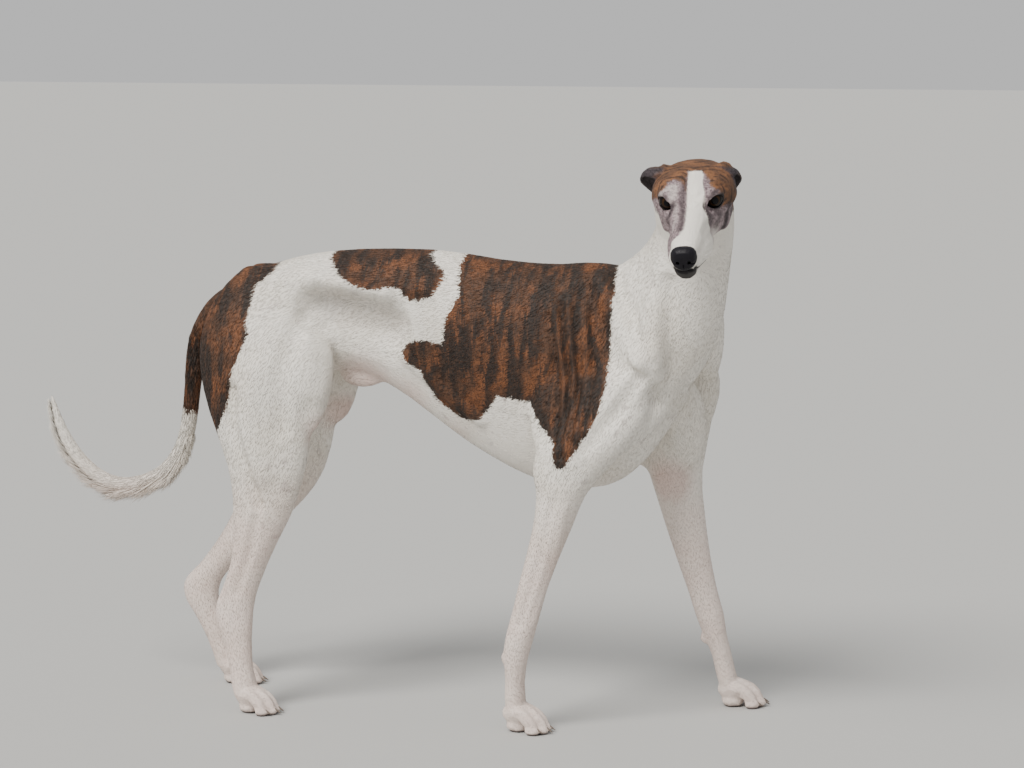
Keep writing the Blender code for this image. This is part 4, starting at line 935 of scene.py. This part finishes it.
def hair_mesh(name, lines, heights, across, widths, shares, uvs, tones):
    """A coat piece: one closed blade for each root, through places with a height over them."""
    roots, count = lines[0][0], len(lines[0][0])
    blade, patch = [], []
    for (places, normals), height, share in zip(lines, heights, shares):
        middle = places + normals * height[:, None]
        if share == 1.0:
            blade.append(middle)
            patch.append((0.0, 0.0015))
            continue
        half = (0.5 * widths * (0.55 + 1.4 * share - 1.6 * share ** 2))[:, None]
        for side, rise in ((-1.0, 0.0), (1.0, 0.0), (0.0, TUFT_RIDGE)):
            blade.append(middle + across * half * side + normals * half * rise)
            patch.append((0.0015 * side * (1.0 - share), 0.003 * share - 0.0015 + 0.0005 * rise))
    corners = np.stack(blade, axis=1)
    size = corners.shape[1]
    faces = [(0, 2, 1)]
    for base in range(0, size - 4, 3):
        for a, b in ((0, 1), (1, 2), (2, 0)):
            faces += [(base + a, base + b, base + 3 + b), (base + a, base + 3 + b, base + 3 + a)]
    faces += [(size - 4 + a, size - 4 + b, size - 1) for a, b in ((0, 1), (1, 2), (2, 0))]
    faces = (np.array(faces)[None] + size * np.arange(count)[:, None, None]).reshape(-1)
    mesh = bpy.data.meshes.new(name)
    mesh.vertices.add(count * size)
    mesh.vertices.foreach_set("co", corners.reshape(-1))
    mesh.loops.add(len(faces))
    mesh.loops.foreach_set("vertex_index", faces.astype(np.int32))
    mesh.polygons.add(len(faces) // 3)
    mesh.polygons.foreach_set("loop_start", np.arange(0, len(faces), 3, dtype=np.int32))
    mesh.update(calc_edges=True)
    corner_uvs = (uvs[:, None, :] + np.array(patch)[None]).reshape(-1, 2)
    mesh.uv_layers.new(name="OFBake").uv.foreach_set("vector", corner_uvs[faces].reshape(-1))
    piece = bpy.data.objects.new(name, mesh)
    bpy.context.scene.collection.objects.link(piece)
    for key, values in markings(roots).items():
        store(piece, key, np.repeat(values, size))
    store_places(piece, np.repeat(roots, size, axis=0))
    store(piece, "tone", np.repeat(tones, size))
    mesh.materials.append(hair_look.material)
    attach(piece, "root")


# Tufts differ a little in tone, from the coat's own colour towards this shade of it
TUFT_SHADE = (0.62, 0.60, 0.58, 1.0)
TONE_SHARE = 0.10
hair_look = Palette("hair_coat", 0.62, 0.30)
coat, place = coat_colour(hair_look)
tone = hair_look.attribute("tone")
shaded = hair_look.mix(1.0, coat, TUFT_SHADE, "MULTIPLY")
hair_look.colour(hair_look.mix(tone * TONE_SHARE, coat, shaded))

skin.data.calc_loop_triangles()
triangle_count = len(skin.data.loop_triangles)
corner_of = np.empty(triangle_count * 3, dtype=np.int32)
skin.data.loop_triangles.foreach_get("vertices", corner_of)
loop_of = np.empty(triangle_count * 3, dtype=np.int32)
skin.data.loop_triangles.foreach_get("loops", loop_of)
corner_of, loop_of = corner_of.reshape(-1, 3), loop_of.reshape(-1, 3)
skin_points, skin_normals = vertices_of(skin), normals_of(skin)
skin_uvs = np.empty(len(skin.data.loops) * 2)
skin.data.uv_layers.active.uv.foreach_get("vector", skin_uvs)
skin_uvs = skin_uvs.reshape(-1, 2)
a, b, c = (skin_points[corner_of[:, index]] for index in range(3))
areas = np.linalg.norm(np.cross(b - a, c - a), axis=1) / 2
coat_numbers = coat_of((a + b + c) / 3)
random = np.random.default_rng(COAT_SEED)
BALD = 0.5
ROOT_DEPTH = 0.0003

for number, (name, (spacing, length, width, lift, slot)) in enumerate(COATS.items()):
    spacing = spacing * 1.0
    mine = np.nonzero(coat_numbers == number)[0]
    reach = np.cumsum(areas[mine])
    count = int(reach[-1] / spacing ** 2)
    picks = mine[np.searchsorted(reach, (np.arange(count) + random.random(count)) / count * reach[-1])]
    u, v = random.random(count), random.random(count)
    over = u + v > 1.0
    u, v = np.where(over, 1.0 - u, u), np.where(over, 1.0 - v, v)
    shares = np.stack([1.0 - u - v, u, v], axis=1)[:, :, None]
    roots = np.sum(skin_points[corner_of[picks]] * shares, axis=1)
    normals = unit(np.sum(skin_normals[corner_of[picks]] * shares, axis=1))
    uvs = np.sum(skin_uvs[loop_of[picks]] * shares, axis=1)
    marks = markings(roots)
    haired = np.maximum(marks["bare"], marks["pad"]) < BALD
    roots, normals, uvs = roots[haired], normals[haired], uvs[haired]
    count = len(roots)
    sway = random.normal(0.0, SWAY, count)[:, None]
    lie = lie_at(roots, normals)
    lie = unit(lie + np.cross(lie, normals) * sway)
    lengths = length * random.uniform(0.75, 1.20, count)
    widths = width * random.uniform(0.80, 1.20, count)
    lifts = np.tan(np.radians(LAID_FLAT * lift * random.uniform(0.6, 1.5, count)))
    middles = over_skin(roots + lie * (lengths * 0.5)[:, None])
    tips = over_skin(roots + lie * lengths[:, None])
    heights = (np.full(count, -ROOT_DEPTH), lengths * 0.5 * lifts, lengths * 0.6 * lifts)
    hair_mesh(name, [(roots, normals), middles, tips], heights, np.cross(lie, normals), widths,
              (0.0, 0.5, 1.0), uvs, random.random(count))

# The eyes: a glossy ball with a dark brown iris and a wide pupil, in the socket of the solids,
# a sphere with a slight bulge in front, coloured by the angle off its axis
# Edges of the pupil, iris and white, as start and end in degrees off the eye's axis
PUPIL_EDGE = (22.0, 25.0)
IRIS_EDGE = (34.0, 42.0)
WHITE_EDGE = (62.0, 70.0)


def eye_aim(hand):
    """The way an eye looks: ahead and up from the line of the muzzle, towards the onlooker."""
    sign = 1.0 if hand == "right" else -1.0
    return (-FACE_BACK + FACE_SIDE * (sign * 0.12 - 0.15) + FACE_UP * 0.35).normalized()


def eye_ball(hand):
    low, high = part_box("eye_" + hand)
    radius = (high[0] - low[0]) / 2
    bpy.ops.mesh.primitive_uv_sphere_add(segments=64, ring_count=40, radius=radius)
    ball = bpy.context.view_layer.objects.active
    ball.name = "eyeball_" + hand
    points = vertices_of(ball)
    height = points[:, 2] / radius
    bulge = 1.0 + 0.05 * fade(height, 0.80, 1.0)
    points *= bulge[:, None]
    store(ball, "off_axis", np.degrees(np.arccos(np.clip(height, -1, 1))))
    turn = Vector((0, 0, 1)).rotation_difference(eye_aim(hand)).to_matrix()
    move_vertices(ball, points @ np.array(turn).T + np.array(EYES[hand]))
    ball.data.shade_smooth()
    pal = Palette("eye_" + hand, 0.10, 0.02)
    angle = pal.attribute("off_axis")
    streaks = pal.noise(pal.node("ShaderNodeTexCoord", {}, output="Object"), 700.0, 2.0)
    iris = pal.mix(streaks, (0.014, 0.007, 0.003, 1), (0.046, 0.022, 0.009, 1))
    eye = pal.mix(pal.step(angle, *PUPIL_EDGE), (0.003, 0.003, 0.004, 1), iris)
    eye = pal.mix(pal.step(angle, *IRIS_EDGE), eye, (0.008, 0.006, 0.006, 1))
    eye = pal.mix(pal.step(angle, *WHITE_EDGE), eye, (0.060, 0.040, 0.036, 1))
    pal.colour(eye)
    pal.shader.inputs["Coat Weight"].default_value = 0.22
    pal.shader.inputs["Coat Roughness"].default_value = 0.03
    ball.data.materials.append(pal.material)
    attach(ball, "root")
    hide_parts("eye_" + hand)


for hand in ("right", "left"):
    eye_ball(hand)

# The nose: bare black leather, pebbled and damp. It is a copy of the solid's own block, cast
# again in fine voxels and softened
NOSE_VOXEL = 0.0005
NOSE_ROUNDS = 10
nose_copy = copy_of("nose")
nose_copy.name = "nose_leather"
only(nose_copy)
weld()
block = nose_copy.modifiers.new("block", "REMESH")
block.mode = "VOXEL"
block.voxel_size = NOSE_VOXEL
apply_all(nose_copy)
soften = nose_copy.modifiers.new("soften", "SMOOTH")
soften.factor = 0.5
soften.iterations = NOSE_ROUNDS
apply_all(nose_copy)
nose_copy.data.shade_smooth()
leather = Palette("nose_leather", 0.42, 0.18)
spot = leather.node("ShaderNodeTexCoord", {}, output="Object")
pebbles = leather.node("ShaderNodeTexVoronoi", {"feature": "F1"}, Vector=spot, Scale=900.0)
leather.colour(leather.mix(pebbles, (0.004, 0.004, 0.006, 1), (0.012, 0.010, 0.014, 1)))
leather.bump(1.0 - pebbles, 0.30, 0.0006)
nose_copy.data.materials.clear()
nose_copy.data.materials.append(leather.material)
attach(nose_copy, "root")
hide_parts("nose")

# The claws: blunt and horn grey, four to a paw, each curving down out of the tip of its toe.
# Each is a cone cut across, flattened at the sides and bent, and a paw's four are one piece
PAW_LENGTH = 0.086
PAW_WIDTH = 0.054
PAWS = {
    "forepaw_right": ((0.1306, -0.098), -4.0, 1.00),
    "forepaw_left": ((0.4306, 0.148), 14.0, 1.00),
    "hindpaw_right": ((-0.3214, -0.097), -4.0, 0.95),
    "hindpaw_left": ((-0.4154, 0.083), 6.0, 0.95),
}
TOES = ((-0.37, 0.24), (-0.13, 0.38), (0.13, 0.38), (0.37, 0.24))
CLAW_LENGTH = 0.0165
CLAW_RADIUS = 0.0036
CLAW_CURVE = 0.00672
CLAW_THINNESS = 0.72
CLAW_SPREAD = 14.0
CLAW_HEIGHT = 0.0115
CLAW_START = 0.03
horn = Palette("claw_horn", 0.34, 0.45)
spot = horn.node("ShaderNodeTexCoord", {}, output="Object")
growth = horn.noise(horn.stretched(spot, (900.0, 900.0, 300.0)), 1.0, 2.0)
horn.colour(horn.mix(growth, (0.060, 0.046, 0.040, 1), (0.260, 0.205, 0.165, 1)))
horn.bump(growth, 0.2, 0.0004)


def claw(middle, turn, size):
    bpy.ops.object.select_all(action="DESELECT")
    bpy.ops.mesh.primitive_cone_add(vertices=14, radius1=CLAW_RADIUS * size,
                                    radius2=CLAW_RADIUS * 0.22 * size, depth=CLAW_LENGTH * size,
                                    rotation=(0.0, math.radians(90.0), 0.0))
    item = bpy.context.view_layer.objects.active
    bpy.ops.object.transform_apply(location=False, rotation=True, scale=False)
    bpy.ops.object.mode_set(mode="EDIT")
    for cut in (0.0, CLAW_LENGTH / 4, -CLAW_LENGTH / 4):
        bpy.ops.mesh.select_all(action="SELECT")
        bpy.ops.mesh.bisect(plane_co=(cut, 0, 0), plane_no=(1, 0, 0))
    bpy.ops.object.mode_set(mode="OBJECT")
    places = vertices_of(item)
    along = places[:, 0] / (CLAW_LENGTH * size) + 0.5
    places[:, 1] *= CLAW_THINNESS
    places[:, 2] -= CLAW_CURVE * size * along ** 2
    turned = Matrix.Translation(middle) @ Matrix.Rotation(math.radians(turn), 4, "Z")
    places = np.c_[places, np.ones(len(places))] @ np.array(turned).T
    move_vertices(item, places[:, :3])
    return item


for paw, ((forward, left), turn, size) in PAWS.items():
    frame_of_paw = (Matrix.Translation(on_body(forward, left, 0.0))
                    @ Matrix.Rotation(math.radians(turn), 4, "Z"))
    claws = []
    for spread, reach in TOES:
        place = Vector(((reach + CLAW_START) * PAW_LENGTH * size + CLAW_LENGTH / 2,
                        spread * PAW_WIDTH * size, CLAW_HEIGHT * size))
        claws.append(claw(frame_of_paw @ place, turn + spread * CLAW_SPREAD, size))
    only(*claws)
    bpy.ops.object.join()
    claws = bpy.context.view_layer.objects.active
    claws.name = "claws_" + paw
    claws.data.shade_smooth()
    claws.data.materials.append(horn.material)
    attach(claws, "root")

# The brush of the tail: longer straight hair on the outer side of its curve, the same white
# tufts as the coat's but longer, fanned to both sides and longest in the middle of the brush
BRUSH_STRETCH = (0.30, 0.97)
BRUSH_TUFTS = 2600
BRUSH_LENGTH = (0.026, 0.042)
BRUSH_WIDTH = 0.0019
BRUSH_FAN = math.radians(70.0)
BRUSH_LIFT = (10.0, 30.0)
count = BRUSH_TUFTS // 1
spots = np.array([list(place) for place in tail_line])
gaps = np.linalg.norm(np.diff(spots, axis=0), axis=1)
reach = np.concatenate([[0.0], np.cumsum(gaps)]) / gaps.sum()
shares = np.sort(random.uniform(*BRUSH_STRETCH, count))
middles = np.stack([np.interp(shares, reach, spots[:, axis]) for axis in range(3)], axis=1)
ahead = np.stack([np.interp(shares + 0.02, reach, spots[:, axis]) for axis in range(3)], axis=1)
behind = np.stack([np.interp(shares - 0.02, reach, spots[:, axis]) for axis in range(3)], axis=1)
runs = unit(ahead - behind)
radii = np.interp(shares, reach, np.array([radius for _, _, radius in TAIL_CORE]))
below = unit(np.cross(runs, np.array((0.0, 1.0, 0.0))))
fans = random.normal(0.0, 0.45, count).clip(-1.0, 1.0)[:, None] * BRUSH_FAN
outward = unit(below * np.cos(fans) + np.array((0.0, 1.0, 0.0)) * np.sin(fans))
roots = middles + outward * (radii * 0.92)[:, None]
lifts = np.radians(random.uniform(*BRUSH_LIFT, count))[:, None]
swell = np.sin(np.pi * (shares - BRUSH_STRETCH[0]) / (BRUSH_STRETCH[1] - BRUSH_STRETCH[0]))
lengths = random.uniform(*BRUSH_LENGTH, count) * (0.35 + 0.65 * swell)
way = unit(runs * np.cos(lifts) + outward * np.sin(lifts))
near_uvs = skin_uvs[loop_of[[skin_tree.find_nearest(root)[2] for root in roots.tolist()], 0]]
lines = [(roots + way * (lengths * share)[:, None], outward) for share in (0.0, 0.35, 0.7, 1.0)]
droops = [-lengths * 0.10 * share ** 2 for share in (0.0, 0.35, 0.7, 1.0)]
hair_mesh("tail_brush", lines, droops, np.cross(way, outward),
          BRUSH_WIDTH * random.uniform(0.7, 1.3, count), (0.0, 0.35, 0.7, 1.0), near_uvs,
          random.random(count))

# The whiskers: a few stiff white hairs on the lips and the chin, tapered tubes set in the skin
WHISKER_ROOTS = [
    (0.020, 0.024, -0.014), (0.027, 0.026, -0.018), (0.034, 0.028, -0.014),
    (0.030, 0.026, -0.024), (0.040, 0.029, -0.022), (0.012, 0.016, -0.030),
]
WHISKER_LENGTH = 0.034
WHISKER_RADIUS = 0.00016
whiskers = []
for sign in (1.0, -1.0):
    for number, (back, side, up) in enumerate(WHISKER_ROOTS):
        root, facing = skin_tree.find_nearest(on_face(back, sign * side, up))[:2]
        way = facing + FACE_BACK * 0.9 - FACE_UP * 0.25
        way.normalize()
        reach = WHISKER_LENGTH * (0.7 + 0.3 * math.sin(2.3 * number))
        line = [(root - facing * 0.001, WHISKER_RADIUS),
                (root + way * reach * 0.5, WHISKER_RADIUS * 0.8),
                (root + way * reach + FACE_BACK * reach * 0.25, WHISKER_RADIUS * 0.3)]
        whiskers.append(tube(line, "whisker", sides=1))
only(*whiskers)
bpy.ops.object.join()
whiskers = bpy.context.view_layer.objects.active
whiskers.name = "whiskers"
whiskers.data.shade_smooth()
bristle = Palette("whisker", 0.45, 0.4)
tint = bristle.noise(bristle.node("ShaderNodeTexCoord", {}, output="Object"), 200.0)
bristle.colour(bristle.mix(tint, (0.62, 0.60, 0.56, 1), (0.85, 0.83, 0.80, 1)))
whiskers.data.materials.clear()
whiskers.data.materials.append(bristle.material)
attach(whiskers, "root")

# The studio: a plain pale floor, even light from the sky, one soft sun from above on the
# camera's side, and the camera where the photo's stood
FLOOR_GREY = (0.47, 0.47, 0.46, 1)
SKY_GREY = (0.83, 0.83, 0.83, 1)
SKY_STRENGTH = 0.75
bpy.ops.mesh.primitive_plane_add(size=60.0, location=(0, 0, 0))
floor = bpy.context.view_layer.objects.active
floor.name = "floor"
floor_look = Palette("floor", 0.85, 0.2)
floor_look.shader.inputs["Base Color"].default_value = FLOOR_GREY
floor.data.materials.append(floor_look.material)

world = bpy.data.worlds.new("studio")
bpy.context.scene.world = world
world.use_nodes = True
world.node_tree.nodes["Background"].inputs["Color"].default_value = SKY_GREY
world.node_tree.nodes["Background"].inputs["Strength"].default_value = SKY_STRENGTH


SUN_ANGLE = math.radians(28.0)
SUN_POWER = 4.2
SUN_WAY = Vector((0.9, 2.0, -2.4))
bpy.ops.object.light_add(type="SUN", location=on_body(-0.9, -2.0, 2.4))
sun = bpy.context.view_layer.objects.active
sun.name = "soft_sun"
sun.data.energy = SUN_POWER
sun.data.angle = SUN_ANGLE
sun.data.color = (1.0, 0.97, 0.92)
sun.rotation_euler = SUN_WAY.to_track_quat("-Z", "Y").to_euler()

CAMERA_TURN = math.radians(15.0)
CAMERA_RISE = math.radians(8.0)
CAMERA_DISTANCE = 4.407
CAMERA_LENS = 97.61
AIM = on_body(0.0919, -0.0196, 0.5435)
away = Vector((math.sin(CAMERA_TURN) * math.cos(CAMERA_RISE),
               -math.cos(CAMERA_TURN) * math.cos(CAMERA_RISE), math.sin(CAMERA_RISE)))
bpy.ops.object.camera_add(location=AIM + away * CAMERA_DISTANCE)
camera = bpy.context.view_layer.objects.active
camera.data.lens = CAMERA_LENS
camera.data.sensor_width = 36.0
camera.rotation_euler = (-away).to_track_quat("-Z", "Y").to_euler()
bpy.context.scene.camera = camera
